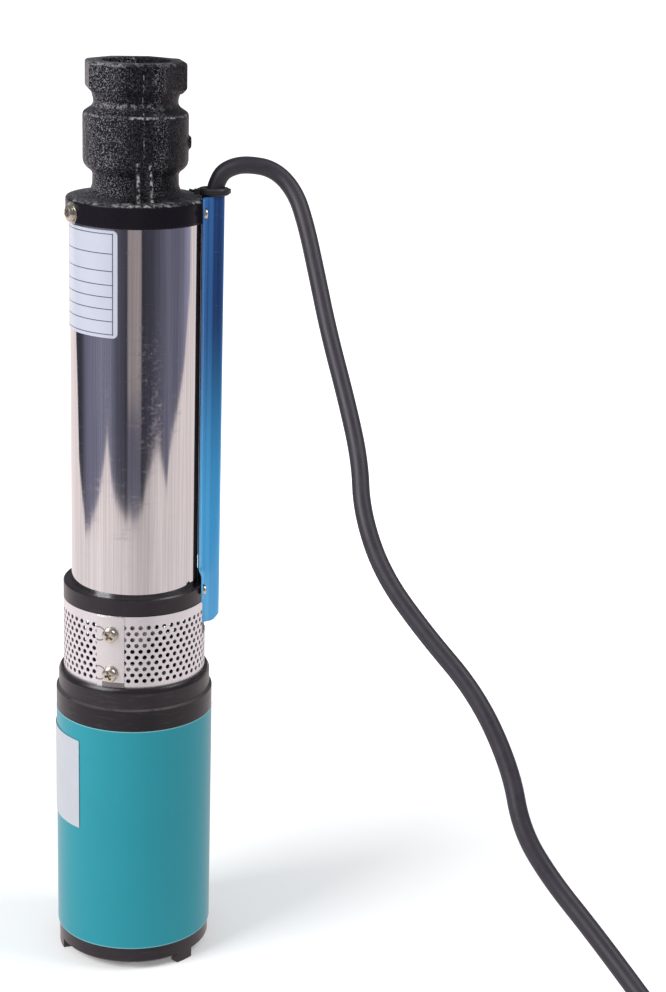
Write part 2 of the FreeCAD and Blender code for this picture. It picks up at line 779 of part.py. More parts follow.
def outletHead():
    # heights of the casting's features above the rim
    lowNeck = rimTop + 13.6
    bulgeLow = rimTop + 20.6
    bulgeHigh = rimTop + 44.0
    shoulder = rimTop + 50.6
    waist = rimTop + 54.6
    spannerLow = outletTop - spannerHeight
    form = turned([
        (0, rimTop - 1), (rimRadius - 1, rimTop - 1), (rimRadius - 0.9, rimTop), (neckRadius + 4.2, rimTop + 2),
        (neckRadius + 1.3, rimTop + 3.2, neckRadius + 0.6, rimTop + 6.5), (neckRadius + 0.5, lowNeck),
        (bulgeRadius - 1.9, lowNeck + 3.2), (bulgeRadius - 0.4, bulgeLow - 1.6), (bulgeRadius, bulgeLow),
        (bulgeRadius, bulgeHigh), (bulgeRadius - 0.6, bulgeHigh + 4.4, bulgeRadius - 3.7, shoulder - 0.4),
        (neckRadius + 0.1, waist, neckRadius + 0.8, spannerLow - 3.4),
        (neckRadius + 1.7, spannerLow - 1.1, spannerFlats / 2 - 0.5, spannerLow + 0.2),
        (spannerFlats / 2 - 0.5, spannerLow + 2), (0, spannerLow + 2),
    ])
    rim = turned([
        (tubeRadius - 5, rimLow), (rimRadius - 0.5, rimLow), (rimRadius, rimLow + 0.5),
        (rimRadius, rimTop - 1.4), (rimRadius - 0.9, rimTop), (tubeRadius - 5, rimTop),
    ])
    boss = rod(4.2, (bulgeRadius - 4, 0, rimTop + 34), (bulgeRadius + 1.2, 0, rimTop + 34))
    rib = block(neckRadius - 2, bulgeRadius - 0.6, -4, 4, rimTop + 1, bulgeLow)
    ribFoot = prism([(neckRadius, -5.2), (rimRadius - 1.6, -6.2), (rimRadius - 1.6, 6.2), (neckRadius, 5.2)],
                    rimTop - 1, rimTop + 2.6)
    webs = [facing(rib.fuse(ribFoot), azimuth) for azimuth in (castLine, castLine + 180)]
    pads = [block(rimRadius - 7.5, guardSeat, side * guardScrewSide - 6, side * guardScrewSide + 3.2, rimLow, rimTop - 0.5)
            for side in (-1, 1)]
    solid = joined([form, rim, spannerHead(), boss] + webs + pads)
    waterway = turned([
        (0, rimLow), (tubeRadius + seatGap, rimLow), (tubeRadius + seatGap, tubeHigh), (tubeRadius - 4.2, tubeHigh),
        (tubeRadius - 5.2, rimTop - 3), (waterwayBore, rimTop + 6), (waterwayBore, valveSeatLow),
        (seatPocket, valveSeatLow), (seatPocket, valveSeatHigh + 2),
        (bulgeRadius - 6.5, valveSeatHigh + 5), (bulgeRadius - 6.5, bulgeHigh - 3),
        (waterwayBore, bulgeHigh + 2), (waterwayBore, guideLow), (guideBore, guideLow), (guideBore, guideHigh),
        (outletBore, guideHigh), (outletBore, outletTop - 1.6), (outletBore + 1.6, outletTop),
        (outletBore + 1.6, outletTop + 1), (0, outletTop + 1),
    ])
    rimHole = facing(screwHole(panScrew, rimRadius, 8, 0, rimScrewHeight), rimScrewAzimuth)
    guardHoles = [screwHole(smallScrew, guardSeat, 4.1, y, rimScrewHeight) for y in (-guardScrewSide, guardScrewSide)]
    spot = facing(block(rimRadius - 0.6, rimRadius + 1, -7, 7, rimLow, rimTop), rimScrewAzimuth)
    return solid.cut([waterway, rimHole, leadChannel(), spot] + guardHoles)


def rimScrew():
    seat = rimRadius - 0.6
    radius, thickness = washer
    screw = screwAt(panScrew, seat + thickness, 6 + thickness, 0, rimScrewHeight)
    ring = rod(radius, (seat, 0, rimScrewHeight), (seat + thickness, 0, rimScrewHeight))
    plain = ring.cut(rod(panScrew[0], (seat - 1, 0, rimScrewHeight), (seat + 3, 0, rimScrewHeight)))
    return facing(Part.makeCompound([screw, plain]), rimScrewAzimuth)


# Check valve in the bulge
def valveSeat():
    return turned([
        (seatBore, valveSeatLow), (seatPocket, valveSeatLow), (seatPocket, valveSeatHigh),
        (seatBore + 1.2, valveSeatHigh), (seatBore, valveSeatHigh - 1.2),
    ])


def valveSeal():
    low = valveSeatHigh + faceGap
    return tube(poppetRadius - 0.6, seatBore - 2.5, low, low + 1.6)


def valvePoppet():
    low = valveSeatHigh + faceGap + 1.6
    plate = low + 2.4
    return turned([
        (0, low - 3), (seatBore - 3.5, low - 3), (seatBore - 2.5, low - 1.6), (seatBore - 2.5, low),
        (poppetRadius, low), (poppetRadius, plate - 0.6), (poppetRadius - 0.6, plate),
        (stemRadius + 2, plate), (stemRadius, plate + 2), (stemRadius, guideHub + 3),
        (stemRadius - 0.6, guideHub + 3.6), (0, guideHub + 3.6),
    ])


def valveSpring():
    low = valveSeatHigh + faceGap + 4.0
    return coilSpring(stemRadius + 3.3, springWire, low + 0.1, guideHub - 0.1, springTurns)


def valveGuide():
    ring = tube(guideBore - seatGap, guideBore - 3.5, guideLow, guideHigh)
    hub = tube(stemRadius + 4.5, stemRadius + runGap, guideHub, guideHigh)
    arm = block(stemRadius + 3.5, guideBore - 3, -1.6, 1.6, guideLow, guideHigh - 0.5)
    return joined([ring, hub] + around(arm, 3))


# Cable guard with its screws, the grommet in its top and the tie on the lead
def cableGuard():
    t = guardSheet
    half = [
        (guardSeat, guardFoot), (guardSeat + t, guardFoot), (guardSeat + t, guardMouth),
        (guardOuter, guardCrown),
    ]
    inner = [(guardSeat, guardMouth - 0.7 * t), (guardOuter - t, guardCrown - 0.7 * t)]
    outline = half + [(x, -y) for x, y in reversed(half)]
    outline += [(x, -y) for x, y in inner] + list(reversed(inner))
    channel = prism(outline, guardLow, guardTop)
    crown = [e for e in channel.Edges
             if e.BoundBox.ZLength > 100 and abs(e.BoundBox.XMin - guardOuter) < 0.01]
    channel = channel.makeFillet(guardBend, crown)
    mouth = [e for e in channel.Edges
             if e.BoundBox.ZLength > 100 and abs(abs(e.BoundBox.YMin) - guardMouth) < 0.01]
    channel = channel.makeFillet(guardBend, mouth)
    side = section([
        (guardSeat - 1, guardLow), (guardOuter - 5, guardLow),
        (guardOuter - 1.4, guardLow + 1.5, guardOuter, guardLow + 5.5),
        (guardOuter, guardTop), (guardSeat - 1, guardTop),
    ])
    side.translate(vec(0, -guardFoot - 1, 0))
    channel = channel.common(side.extrude(vec(0, 2 * guardFoot + 2, 0)))
    tailCut = [block(guardSeat - 1, guardSeat + t, y0, y1, guardLow, strainerTop + faceGap)
               for y0, y1 in ((-guardFoot - 1, -guardMouth - 0.6), (guardMouth + 0.6, guardFoot + 1))]
    holes = [screwHole(smallScrew, guardSeat, 1, y, z) for y in (-guardScrewSide, guardScrewSide)
             for z in (rimScrewHeight, ringScrewHeight)]
    return channel.cut(tailCut + holes)


def guardScrews():
    seat = guardSeat + guardSheet
    return Part.makeCompound([screwAt(smallScrew, seat, 5.0, y, z)
                              for y in (-guardScrewSide, guardScrewSide)
                              for z in (rimScrewHeight, ringScrewHeight)])


def cableGrommet():
    low = guardTop + faceGap
    high = leadExit[2] - 0.2
    radius = grommetRadius
    body = turned([
        (heldLeadRadius, low), (radius - 0.5, low), (radius, low + 0.6), (radius, high - 1.2),
        (radius - 0.7, high), (radius - 2.7, high), (heldLeadRadius, high),
    ])
    exitWay = (vec(*leadRoute[1]) - vec(*leadExit)).normalize()
    mouth = Part.makeCylinder(leadRadius, 8, vec(*leadExit) - exitWay * 4, exitWay)
    return body.translate(vec(grommetPlace, 0, 0)).cut([leadChannel(), mouth])


def cableTie():
    # a thin band round the grommet, its lock at the pump's side and its curled tail
    low = leadExit[2] - 2.9
    inner = grommetRadius + seatGap
    outer = inner + 0.7
    band = tube(outer, inner, low, low + 2.0, grommetPlace, 0)
    lock = block(-outer - 1.8, -inner + 1, -6.6, -3.0, low - 0.4, low + 2.6)
    tail = rod(0.8, (-outer - 0.8, -4.6, low + 1.0), (-outer - 4.6, -5.4, low + 2.2))
    pieces = [shape.translate(vec(grommetPlace, 0, 0)) for shape in (lock, tail)]
    hole = disc(inner, low - 1, low + 4, grommetPlace, 0)
    return joined([band] + pieces).cut(hole)


# Labels: thin sheets that follow the tube and the shell, with rounded corners
def wrappedLabel(seat, first, last, low, height, corner):
    inner = seat + faceGap
    outer = inner + labelSheet
    sheet = sector(outer, inner, low, low + height, first, last)
    turn = math.degrees(corner / inner)
    for azimuth, inward in ((first, 1), (last, -1)):
        for level, up in ((low, 1), (low + height, -1)):
            middle = level + up * corner
            side = sorted((0, -inward * corner))
            keep = rod(corner, (inner - 2, 0, middle), (outer + 2, 0, middle))
            zone = block(inner - 2, outer + 2, side[0], side[1], min(level, middle), max(level, middle))
            sheet = sheet.cut(facing(zone.cut(keep), azimuth + inward * turn))
    return sheet


def tubeSticker():
    first, last, share = tubeLabel
    height = share * tubeShowing
    return wrappedLabel(tubeRadius, first, last, rimLow - labelBelowRim - height, height,
                        tubeLabelCorner)


def motorSticker():
    first, last, share = motorLabel
    height = share * shellHeight
    return wrappedLabel(shellRadius, first, last, shellTop - motorLabelBelow - height, height,
                        motorLabelCorner)


# The free lead, its put-away coil and its far end
def leadCoil():
    x, y = coilCentre
    inner = coilMiddle - 2 * leadRadius
    outer = coilMiddle + 2 * leadRadius
    high = 4 * leadRadius
    bend = leadRadius * 0.6
    ring = turned([
        (inner + bend, 0), (outer - bend, 0), (outer, bend), (outer, high - bend), (outer - bend, high),
        (inner + bend, high), (inner, high - bend), (inner, bend),
    ])
    ring.translate(vec(x, y, 0))
    tail = rod(leadRadius, tailStart, tailEnd).common(block(x - 200, x, y - 100, y + 100, 0, high))
    return ring.fuse(tail).removeSplitter().cut(coilTie())


def coilTie():
    # a band round the coil's turns at its front
    x, y = coilCentre
    band = 1.2
    reach = coilMiddle + 2 * leadRadius
    near = coilMiddle - 2 * leadRadius
    high = 4 * leadRadius
    outside = block(x - 4, x + 4, y - reach - band, y - near + band, 0, high + band)
    return outside.cut(block(x - 4, x + 4, y - reach, y - near, band, high))


def leadCores():
    # three stripped cores with crimped pins, side by side out of the sheath
    way = (vec(*tailEnd) - vec(*tailStart))
    way.z = 0
    way.normalize()
    across = vec(-way.y, way.x, 0)
    start = vec(*tailEnd)
    cores = []
    for k in range(3):
        offset = across * (2.6 * (k - 1))
        near = start + offset
        far = near + way * coreLength + across * (3.0 * (k - 1))
        core = Part.makeCylinder(1.25, (far - near).Length, near, far - near)
        pin = Part.makeCylinder(0.8, pinLength, far, far - near)
        cores.append(core.fuse(pin))
    return Part.makeCompound(cores).cut(leadCoil())


def save(name, shape):
    if not shape.isValid():
        print("not valid:", name)
    shape.exportStep("parts/%s.step" % name)


def main():
    os.makedirs("parts", exist_ok=True)
    lowerHeight = lowerBearing[1]
    upperHeight = upperBearing[1] - journalGap
    lower = bearingRings(lowerBearing, lowerJournal, lowerBearingLow, lowerHeight)
    upper = bearingRings(upperBearing, upperJournal, upperBearingLow, upperHeight)
    pieces = {
        "base_cap": baseCap(),
        "motor_shell": motorShell(),
        "motor_head": motorHead(),
        "tie_bolts": tieBolts(),
        "lower_shell_ring": sealingRing(capTop + 4),
        "upper_shell_ring": sealingRing(shellTop - 6.6),
        "stator_core": statorCore(),
        "stator_windings": statorWindings(),
        "rotor_core": rotorCore(),
        "rotor_magnets": rotorMagnets(),
        "motor_shaft": motorShaft(),
        "lower_bearing_outer": lower[0],
        "lower_bearing_inner": lower[1],
        "lower_bearing_balls": lower[2],
        "upper_bearing_outer": upper[0],
        "upper_bearing_inner": upper[1],
        "upper_bearing_balls": upper[2],
        "seal_seat": sealSeat(),
        "seal_ring": sealRing(),
        "seal_bellows": sealBellows(),
        "shaft_coupling": shaftCoupling(),
        "coupling_screws": couplingScrews(),
        "cable_gland": cableGland(),
        "held_lead": heldLead(),
        "suction_body": suctionBody(),
        "suction_bolts": suctionBolts(),
        "strainer_screen": strainerScreen(),
        "strainer_screws": strainerScrews(),
        "pump_tube": pumpTube(),
        "pump_shaft": pumpShaft(),
        "shaft_nut": shaftNut(),
        "top_bearing_carrier": topBearingCarrier(),
        "top_bearing_bush": topBearingBush(),
        "outlet_head": outletHead(),
        "rim_screw": rimScrew(),
        "valve_seat": valveSeat(),
        "valve_seal": valveSeal(),
        "valve_poppet": valvePoppet(),
        "valve_spring": valveSpring(),
        "valve_guide": valveGuide(),
        "cable_guard": cableGuard(),
        "guard_screws": guardScrews(),
        "cable_grommet": cableGrommet(),
        "cable_tie": cableTie(),
        "tube_label": tubeSticker(),
        "motor_label": motorSticker(),
        "free_lead": bentTube(leadRoute, leadRadius).cut(leadCoil()),
        "lead_coil": leadCoil(),
        "coil_tie": coilTie(),
        "lead_cores": leadCores(),
    }
    for k in range(stageCount):
        low = spigotHigh + k * stagePitch
        pieces["impeller_%d" % (k + 1)] = impeller(low + runningClearance)
        pieces["diffuser_bowl_%d" % (k + 1)] = diffuserBowl(low)
    for name, shape in pieces.items():
        save(name, shape)
    print(len(pieces), "pieces")


main()
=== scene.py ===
import math

import bpy
from mathutils import Matrix, Vector


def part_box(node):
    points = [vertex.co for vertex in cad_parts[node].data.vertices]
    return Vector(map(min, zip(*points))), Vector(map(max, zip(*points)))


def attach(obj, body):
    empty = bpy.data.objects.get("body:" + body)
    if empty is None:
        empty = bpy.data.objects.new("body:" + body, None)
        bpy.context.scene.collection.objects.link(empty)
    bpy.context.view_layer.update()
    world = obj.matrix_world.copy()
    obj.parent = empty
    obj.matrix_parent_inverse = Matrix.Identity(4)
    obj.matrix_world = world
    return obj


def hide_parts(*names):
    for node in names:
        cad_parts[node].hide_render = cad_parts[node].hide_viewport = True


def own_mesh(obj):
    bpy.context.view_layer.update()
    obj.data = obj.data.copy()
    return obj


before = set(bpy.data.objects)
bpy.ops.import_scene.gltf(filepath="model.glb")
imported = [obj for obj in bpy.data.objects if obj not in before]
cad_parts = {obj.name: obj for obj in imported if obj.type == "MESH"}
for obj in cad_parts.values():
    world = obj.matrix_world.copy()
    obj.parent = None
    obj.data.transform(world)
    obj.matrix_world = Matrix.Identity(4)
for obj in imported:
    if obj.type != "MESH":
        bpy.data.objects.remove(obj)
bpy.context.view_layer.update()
print("frame loaded,", len(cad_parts), "nodes")


# Camera: it stands in front and a little above, and it is rolled slightly
camera = {
    "place": (0.0, -1.2126, 0.6593),
    "heading": 5.66,
    "down": 16.66,
    "roll": 1.77,
    "lens": 75.77,
    "sensor": 36,
}


def addCamera():
    heading = math.radians(camera["heading"])
    down = math.radians(camera["down"])
    roll = math.radians(camera["roll"])
    level = Vector((math.sin(heading), math.cos(heading), 0))
    side = Vector((math.cos(heading), -math.sin(heading), 0))
    forward = level * math.cos(down) - Vector((0, 0, math.sin(down)))
    up = level * math.sin(down) + Vector((0, 0, math.cos(down)))
    right = side * math.cos(roll) + up * math.sin(roll)
    top = up * math.cos(roll) - side * math.sin(roll)
    bpy.ops.object.camera_add(location=camera["place"])
    seen = bpy.context.object
    seen.data.lens = camera["lens"]
    seen.data.sensor_width = camera["sensor"]
    turn = Matrix((right, top, -forward)).transposed()
    seen.matrix_world = Matrix.Translation(camera["place"]) @ turn.to_4x4()
    bpy.context.scene.camera = seen


addCamera()
print("camera placed")


# The free lead: from the grommet it arches over and comes down to the floor, then it is put away in a coil
lead = {
    "thickness": 0.010,
    "length": 2.0,
    "route": [
        (0.0462, 0.0, 0.4814),
        (0.048, 0.0, 0.4875),
        (0.053, 0.0, 0.4925),
        (0.063, -0.001, 0.4955),
        (0.080, -0.001, 0.493),
        (0.092, -0.008, 0.481),
        (0.098, -0.019, 0.463),
        (0.103, -0.038, 0.439),
        (0.109, -0.060, 0.409),
        (0.118, -0.085, 0.375),
        (0.124, -0.106, 0.347),
        (0.124, -0.124, 0.323),
        (0.134, -0.143, 0.294),
        (0.155, -0.164, 0.268),
        (0.182, -0.189, 0.241),
        (0.198, -0.212, 0.208),
        (0.202, -0.229, 0.181),
        (0.216, -0.244, 0.160),
        (0.234, -0.265, 0.142),
        (0.253, -0.292, 0.122),
        (0.279, -0.335, 0.095),
        (0.302, -0.384, 0.061),
        (0.311, -0.426, 0.029),
        (0.308, -0.463, 0.009),
    ],
    "coilMiddle": (0.240, -0.500),
    "coilOuter": 0.0611,
    "coilInner": 0.0509,
    "coilLow": 0.005,
    "coilHigh": 0.015,
    "coilTurns": 3.34,
    "pointsPerTurn": 16,
    "stepShare": 0.2,
    "tail": [(0.1965, -0.5418, 0.0145), (0.180, -0.530, 0.0085), (0.162, -0.517, 0.0050)],
}


def coilPoints():
    # bottom outer turn, bottom inner turn, top inner turn and a third of the top outer turn
    x, y = lead["coilMiddle"]
    outer, inner, low, high = (lead["coil" + word] for word in ("Outer", "Inner", "Low", "High"))
    rings = [(outer, low), (inner, low), (inner, high), (outer, high), (outer, high)]
    perTurn, share = lead["pointsPerTurn"], lead["stepShare"]
    points = []
    for k in range(int(lead["coilTurns"] * perTurn)):
        turns = k / perTurn
        step = min(1, max(0, (turns % 1 - (1 - share)) / share))
        fromRing, toRing = rings[int(turns)], rings[int(turns) + 1]
        radius = fromRing[0] + (toRing[0] - fromRing[0]) * step
        height = fromRing[1] + (toRing[1] - fromRing[1]) * step
        angle = -2 * math.pi * turns
        points.append((x + radius * math.cos(angle), y + radius * math.sin(angle), height))
    return points


def addLead():
    points = lead["route"] + coilPoints() + lead["tail"]
    curve = bpy.data.curves.new("free_cable", "CURVE")
    curve.dimensions = "3D"
    spline = curve.splines.new("NURBS")
    spline.points.add(len(points) - 1)
    for point, place in zip(spline.points, points):
        point.co = (*place, 1)
        point.radius = lead["thickness"] / 2
    spline.order_u = 3
    spline.use_endpoint_u = True
    spline.resolution_u = 8
    curve.bevel_depth = 1.0
    curve.bevel_resolution = 5
    curve.use_fill_caps = True
    piece = bpy.data.objects.new("free_cable", curve)
    bpy.context.collection.objects.link(piece)
    piece.visible_glossy = False
    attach(piece, "pump")
    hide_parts("free_lead", "lead_coil")
    return piece


freeCable = addLead()
print("lead laid")


# Measures of the pieces that are modelled here, in metres and degrees
casting = {
    "rimLow": 0.4623,
    "rimTop": 0.4760,
    "rimRadius": 0.0405,
    "bore": 0.0196,
    "top": 0.5532,
    "octagonFlats": 0.0560,
    "octagonTurn": -15,
    "octagonHeight": 0.0140,
    "octagonMiddleBelow": 0.0082,
    "ribPlace": 9,
    "ribHeight": 0.0225,
    "web": ((0.012, 0.0085), (0.006, 0.0065), 0.0285, 0.0268),
    "ridge": ((0.0115, 0.0030), (0.0070, 0.0024), 0.0305, 0.0274),
    "ridgeShift": 0.0034,
    "bossRadius": 0.0034,
    "bossLength": 0.008,
    "bossReach": 0.0280,
    "bossAbove": 0.0312,
    "seatMiddle": (0.0351, 0.0144),
    "seatSize": (0.0066, 0.0092),
    "guardFlat": 0.0384,
    "guardFlatWidth": 0.0386,
    "leadChannel": 0.0064,
    "leadPlace": 0.0446,
    "voxel": 0.00075,
}
thread = {
    "pitch": 0.00231,
    "turns": 9,
    "ridge": 0.00085,
    "sunk": 0.0001,
    "low": 0.5300,
}
valveSpring = {
    "wire": 0.0006,
    "turns": 4,
    "lift": 0.006,
    "guideEnd": 0.5211,
}
strainer = {
    "radius": 0.04325,
    "sheet": 0.0008,
    "low": 0.1845,
    "top": 0.2322,
    "columns": 56,
    "rows": 10,
    "rowPitch": 0.00374,
    "firstRow": 0.1916,
    "turn": 1.64,
    "hole": 0.00140,
    "strapFrom": -31.0,
    "strapTo": -8.2,
    "strapLow": 0.1848,
    "strapTop": 0.2319,
    "strapSheet": 0.0006,
    "windowMiddle": 0.2330,
    "windowSize": (0.0276, 0.0446),
    "markAcross": -0.0221,
    "markRadius": 0.0042,
}
guard = {
    "sheet": 0.0010,
    "tail": 0.2172,
    "flangeLow": 0.2325,
    "step": (0.2500, 0.2530),
    "top": 0.4771,
    "ringSeat": 0.0401,
    "tubeSeat": 0.0384,
    "flangeEdge": 0.0190,
    "mouth": 0.0114,
    "crown": 0.0056,
    "outer": 0.0515,
    "bend": 0.0016,
    "cutIn": 0.0050,
    "tailCuts": [(0.0006, 22), (0.0022, 45), (0.0048, 68)],
}
# a head or washer has its radius and height, and a place is made of azimuth, distance from the axis, shift
# to the side, height and the turn of the cross
screws = {
    "strainer_pan_screws": {
        "node": "strainer_screws",
        "head": (0.0049, 0.0030),
        "places": [(-19, 0.0442, 0, 0.1956, 20), (-19, 0.0442, 0, 0.2205, 55)],
    },
    "rim_pan_screw": {
        "node": "rim_screw",
        "head": (0.0046, 0.0030),
        "places": [(-63, 0.0411, 0, 0.4685, 30)],
        "washer": (0.0063, 0.0012),
    },
    "guard_pan_screws": {
        "node": "guard_screws",
        "head": (0.0032, 0.0020),
        "places": [(90, 0.0411, 0.0158, 0.2400, 15), (90, 0.0411, -0.0158, 0.2400, 40),
                   (90, 0.0394, 0.0158, 0.4685, 65), (90, 0.0394, -0.0158, 0.4685, 90)],
    },
}
# the ruled sticker on the tube
sticker = {
    "from": -121.0,
    "to": -19.0,
    "low": 0.4010,
    "top": 0.4597,
    "rows": [0.4593, 0.448, 0.438, 0.430, 0.423, 0.416, 0.409, 0.4014],
    "rowHalf": 0.00028,
    "end": -19.4,
    "endHalf": 0.55,
}


# Shader helper: a wrapped socket, so that sums on sockets add their Math nodes
class Wire:
    def __init__(self, tree, socket=None):
        self.tree = tree
        self.socket = socket

    def node(self, kind, settings=None, values=None, output=0):
        added = self.tree.nodes.new(kind)
        for key, value in (settings or {}).items():
            if key == "stops":
                self.fillRamp(added.color_ramp, value)
            else:
                setattr(added, key, value)
        for key, value in (values or {}).items():
            if isinstance(value, Wire):
                self.tree.links.new(value.socket, added.inputs[key])
            else:
                added.inputs[key].default_value = value
        return Wire(self.tree, added.outputs[output]) if output is not None else added

    def fillRamp(self, ramp, stops):
        while len(ramp.elements) < len(stops):
            ramp.elements.new(1.0)
        for element, (place, shade) in zip(ramp.elements, stops):
            element.position = place
            element.color = (shade, shade, shade, 1) if isinstance(shade, (int, float)) else (*shade, 1)

    def sum(self, operation, first, second=0.0):
        return self.node("ShaderNodeMath", {"operation": operation}, {0: first, 1: second})

    def __add__(self, other):
        return self.sum("ADD", self, other)

    __radd__ = __add__

    def __sub__(self, other):
        return self.sum("SUBTRACT", self, other)

    def __rsub__(self, other):
        return self.sum("SUBTRACT", other, self)

    def __mul__(self, other):
        return self.sum("MULTIPLY", self, other)

    __rmul__ = __mul__

    def __truediv__(self, other):
        return self.sum("DIVIDE", self, other)

    def __gt__(self, other):
        return self.sum("GREATER_THAN", self, other)

    def __lt__(self, other):
        return self.sum("LESS_THAN", self, other)

    def size(self):
        return self.sum("ABSOLUTE", self)

    def between(self, low, high):
        # 0 below low, 1 above high and a smooth step between
        settings = {"interpolation_type": "SMOOTHSTEP", "clamp": True}
        values = {"Value": self, "From Min": low, "From Max": high}
        return self.node("ShaderNodeMapRange", settings, values)

    def near(self, middle, outer, inner):
        # 1 closer than inner to the middle, 0 further than outer
        return (self - middle).size().between(outer, inner)

    def colour(self, first, second):
        # the wrapped value is the share of the second colour
        def full(shade):
            return shade if isinstance(shade, Wire) else (*shade, 1)
        settings = {"data_type": "RGBA", "clamp_factor": True}
        return self.node("ShaderNodeMix", settings, {0: self, 6: full(first), 7: full(second)}, 2)

    def ramp(self, *stops):
        return self.node("ShaderNodeValToRGB", {"stops": stops}, {0: self})

    def most(self, other):
        return self.sum("MAXIMUM", self, other)

    def noise(self, scale, detail=3.0, roughness=0.5):
        values = {"Vector": self, "Scale": scale, "Detail": detail, "Roughness": roughness}
        return self.node("ShaderNodeTexNoise", {}, values)

    def stretched(self, scale, turn=(0, 0, 0)):
        return self.node("ShaderNodeMapping", {}, {"Vector": self, "Scale": scale, "Rotation": turn})

    def bump(self, distance, strength=1.0):
        return self.node("ShaderNodeBump", {}, {"Height": self, "Distance": distance, "Strength": strength})

    def part(self, axis):
        return self.node("ShaderNodeSeparateXYZ", {}, {0: self}, "XYZ".index(axis))

    def azimuth(self):
        # of a place, in degrees from the front towards the cable guard
        return self.sum("ARCTAN2", self.part("X"), 0.0 - self.part("Y")) * (180 / math.pi)

    def away(self):
        # of a place, its distance from the pump's axis
        x, y = self.part("X"), self.part("Y")
        return self.sum("SQRT", x * x + y * y)

    def ray(self, kind):
        return self.node("ShaderNodeLightPath", {}, {}, "Is " + kind + " Ray")

    def shaders(self, first, second):
        # the wrapped value is the share of the second shader
        return self.node("ShaderNodeMixShader", {}, {0: self, 1: first, 2: second})

    def paint(self, **sockets):
        # the surface of a material, where a socket's name is written with _ for its space
        values = {key.replace("_", " "): value for key, value in sockets.items()}
        shader = self.node("ShaderNodeBsdfPrincipled", {}, values)
        self.node("ShaderNodeOutputMaterial", {}, {"Surface": shader}, None)


def emptyTree(holder):
    # the nodes of a new material or world, cleared
    holder.use_nodes = True
    holder.node_tree.nodes.clear()
    return Wire(holder.node_tree)


def newMaterial(name, maker):
    # its maker gets the place on the object
    material = bpy.data.materials.new(name)
    maker(emptyTree(material).node("ShaderNodeTexCoord", {}, {}, "Object"))
    return material


# Materials, one function for each finish
def castingBlack(place):
    # gritty black coat over a sand casting, smooth round the rim, with painted glints that are stronger on
    # its left side, and bright lines on its ridges that are partly rubbed wear and partly painted highlight
    height, azimuth, away = place.part("Z"), place.azimuth(), place.away()
    side = (height > 0.4627) * (height < 0.4752) * (away > 0.0396)
    rough = 1.0 - side
    grit = place.noise(780, 4, 0.7)
    lumps = place.noise(240, 3, 0.6)
    # painted glints: light specks in the base colour stand in for sparkle of the lamps on the grit
    paintedGlints = place.noise(1250, 2, 0.6).between(0.50, 0.64)
    # painted light: the glints are weighted stronger on the left side and in a band round azimuth 28
    lit = (azimuth.between(5, -45) * 0.8 + 0.2).most(azimuth.near(28, 14, 4) * 0.7)
    worn = place.noise(420, 4, 0.7).between(0.46, 0.60)
    # thin bright lines on the shoulder, waist, crown, foot, ribs and seam: partly rubbed wear, partly
    # painted highlight
    shoulder = height.near(0.5235, 0.0011, 0.0003) * (away > 0.0270)
    waist = height.near(0.5290, 0.0022, 0.0006) * (away < 0.0262)
    crown = height.near(0.5525, 0.0016, 0.0004) * (away > 0.0225)
    foot = height.near(0.4758, 0.0012, 0.0003)
    fromRib = (azimuth - casting["ribPlace"]).size()
    ribs = fromRib.near(6.5, 2.2, 0.6) * (height < 0.4985) * (height > 0.4770)
    seam = fromRib.between(1.0, 0.4) * (height > 0.4985) * (height < 0.5500)
    patches = place.noise(95, 2, 0.5).between(0.42, 0.58) * 0.85 + 0.15
    edges = shoulder.most(waist * 0.6).most(crown * 0.7).most(foot) * patches
    ridge = edges.most(ribs).most(seam * 0.6) * worn
    coat = (grit * 0.6 + lumps * 0.4).ramp((0.36, (0.0015, 0.0012, 0.0022)), (0.54, (0.004, 0.0035, 0.0052)),
                                           (0.72, (0.016, 0.0145, 0.020)))
    shade = side.colour(coat, (0.0105, 0.0090, 0.0130))
    glintedCoat = (paintedGlints * rough * lit * 0.8).colour(shade, (0.30, 0.29, 0.33))
    place.paint(Base_Color=(ridge * 0.85).colour(glintedCoat, (0.42, 0.41, 0.42)),
                Roughness=0.20 + grit * 0.18, Normal=((grit * 0.7 + lumps) * rough + seam).bump(0.0012, 0.8),
                IOR=1.22)


def satinBlack(place):
    # charcoal coat on the machined rings, with faint scuffs, and painted highlights as thin bright lines on
    # the step and along the lip
    scuffs = place.stretched((60, 60, 600)).noise(1.0, 5, 0.7).between(0.52, 0.72)
    mottle = place.noise(70, 4, 0.6)
    grain = place.noise(1500, 2, 0.5)
    height = place.part("Z")
    # painted highlights: a thin bright line on the step's ledge and a streaky one along the lip's top edge
    step = height.near(0.1741, 0.0007, 0.0003) * mottle.between(0.35, 0.55)
    lipHighlight = height.near(0.1858, 0.0014, 0.0004) * scuffs
    lower = height.between(0.1738, 0.1732) * (height > 0.1500)
    upper = mottle.colour((0.0125, 0.0090, 0.0122), (0.023, 0.0175, 0.0225))
    shade = lower.colour(upper, (0.0070, 0.0050, 0.0085))
    # the scuffs are wear; the step and lip lines mixed in here are painted highlight
    scuffsAndHighlights = (scuffs * 0.25).most(step * 0.7).most(lipHighlight * 0.8)
    place.paint(Base_Color=scuffsAndHighlights.colour(shade, (0.110, 0.100, 0.110)),
                Roughness=0.22 + mottle * 0.14 + scuffs * 0.10, Normal=grain.bump(0.00012, 0.4),
                Specular_IOR_Level=0.4)


def tealCoat(place):
    # satin powder coat with a fine orange peel, and a painted highlight as a thin pale band at both ends
    low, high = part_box("motor_shell")
    peel = place.noise(950, 2, 0.45)
    cloud = place.noise(14, 3, 0.5)
    height = place.part("Z")
    # painted highlight: thin pale bands at the shell's top and bottom ends
    ends = height.near(high[2], 0.0009, 0.0003).most(height.near(low[2], 0.0009, 0.0003))
    coat = cloud.colour((0.013, 0.275, 0.340), (0.020, 0.310, 0.382))
    place.paint(Base_Color=(ends * 0.5).colour(coat, (0.35, 0.62, 0.66)), Roughness=0.26 + peel * 0.10,
                Normal=peel.bump(0.00020, 0.4), Specular_IOR_Level=0.3)


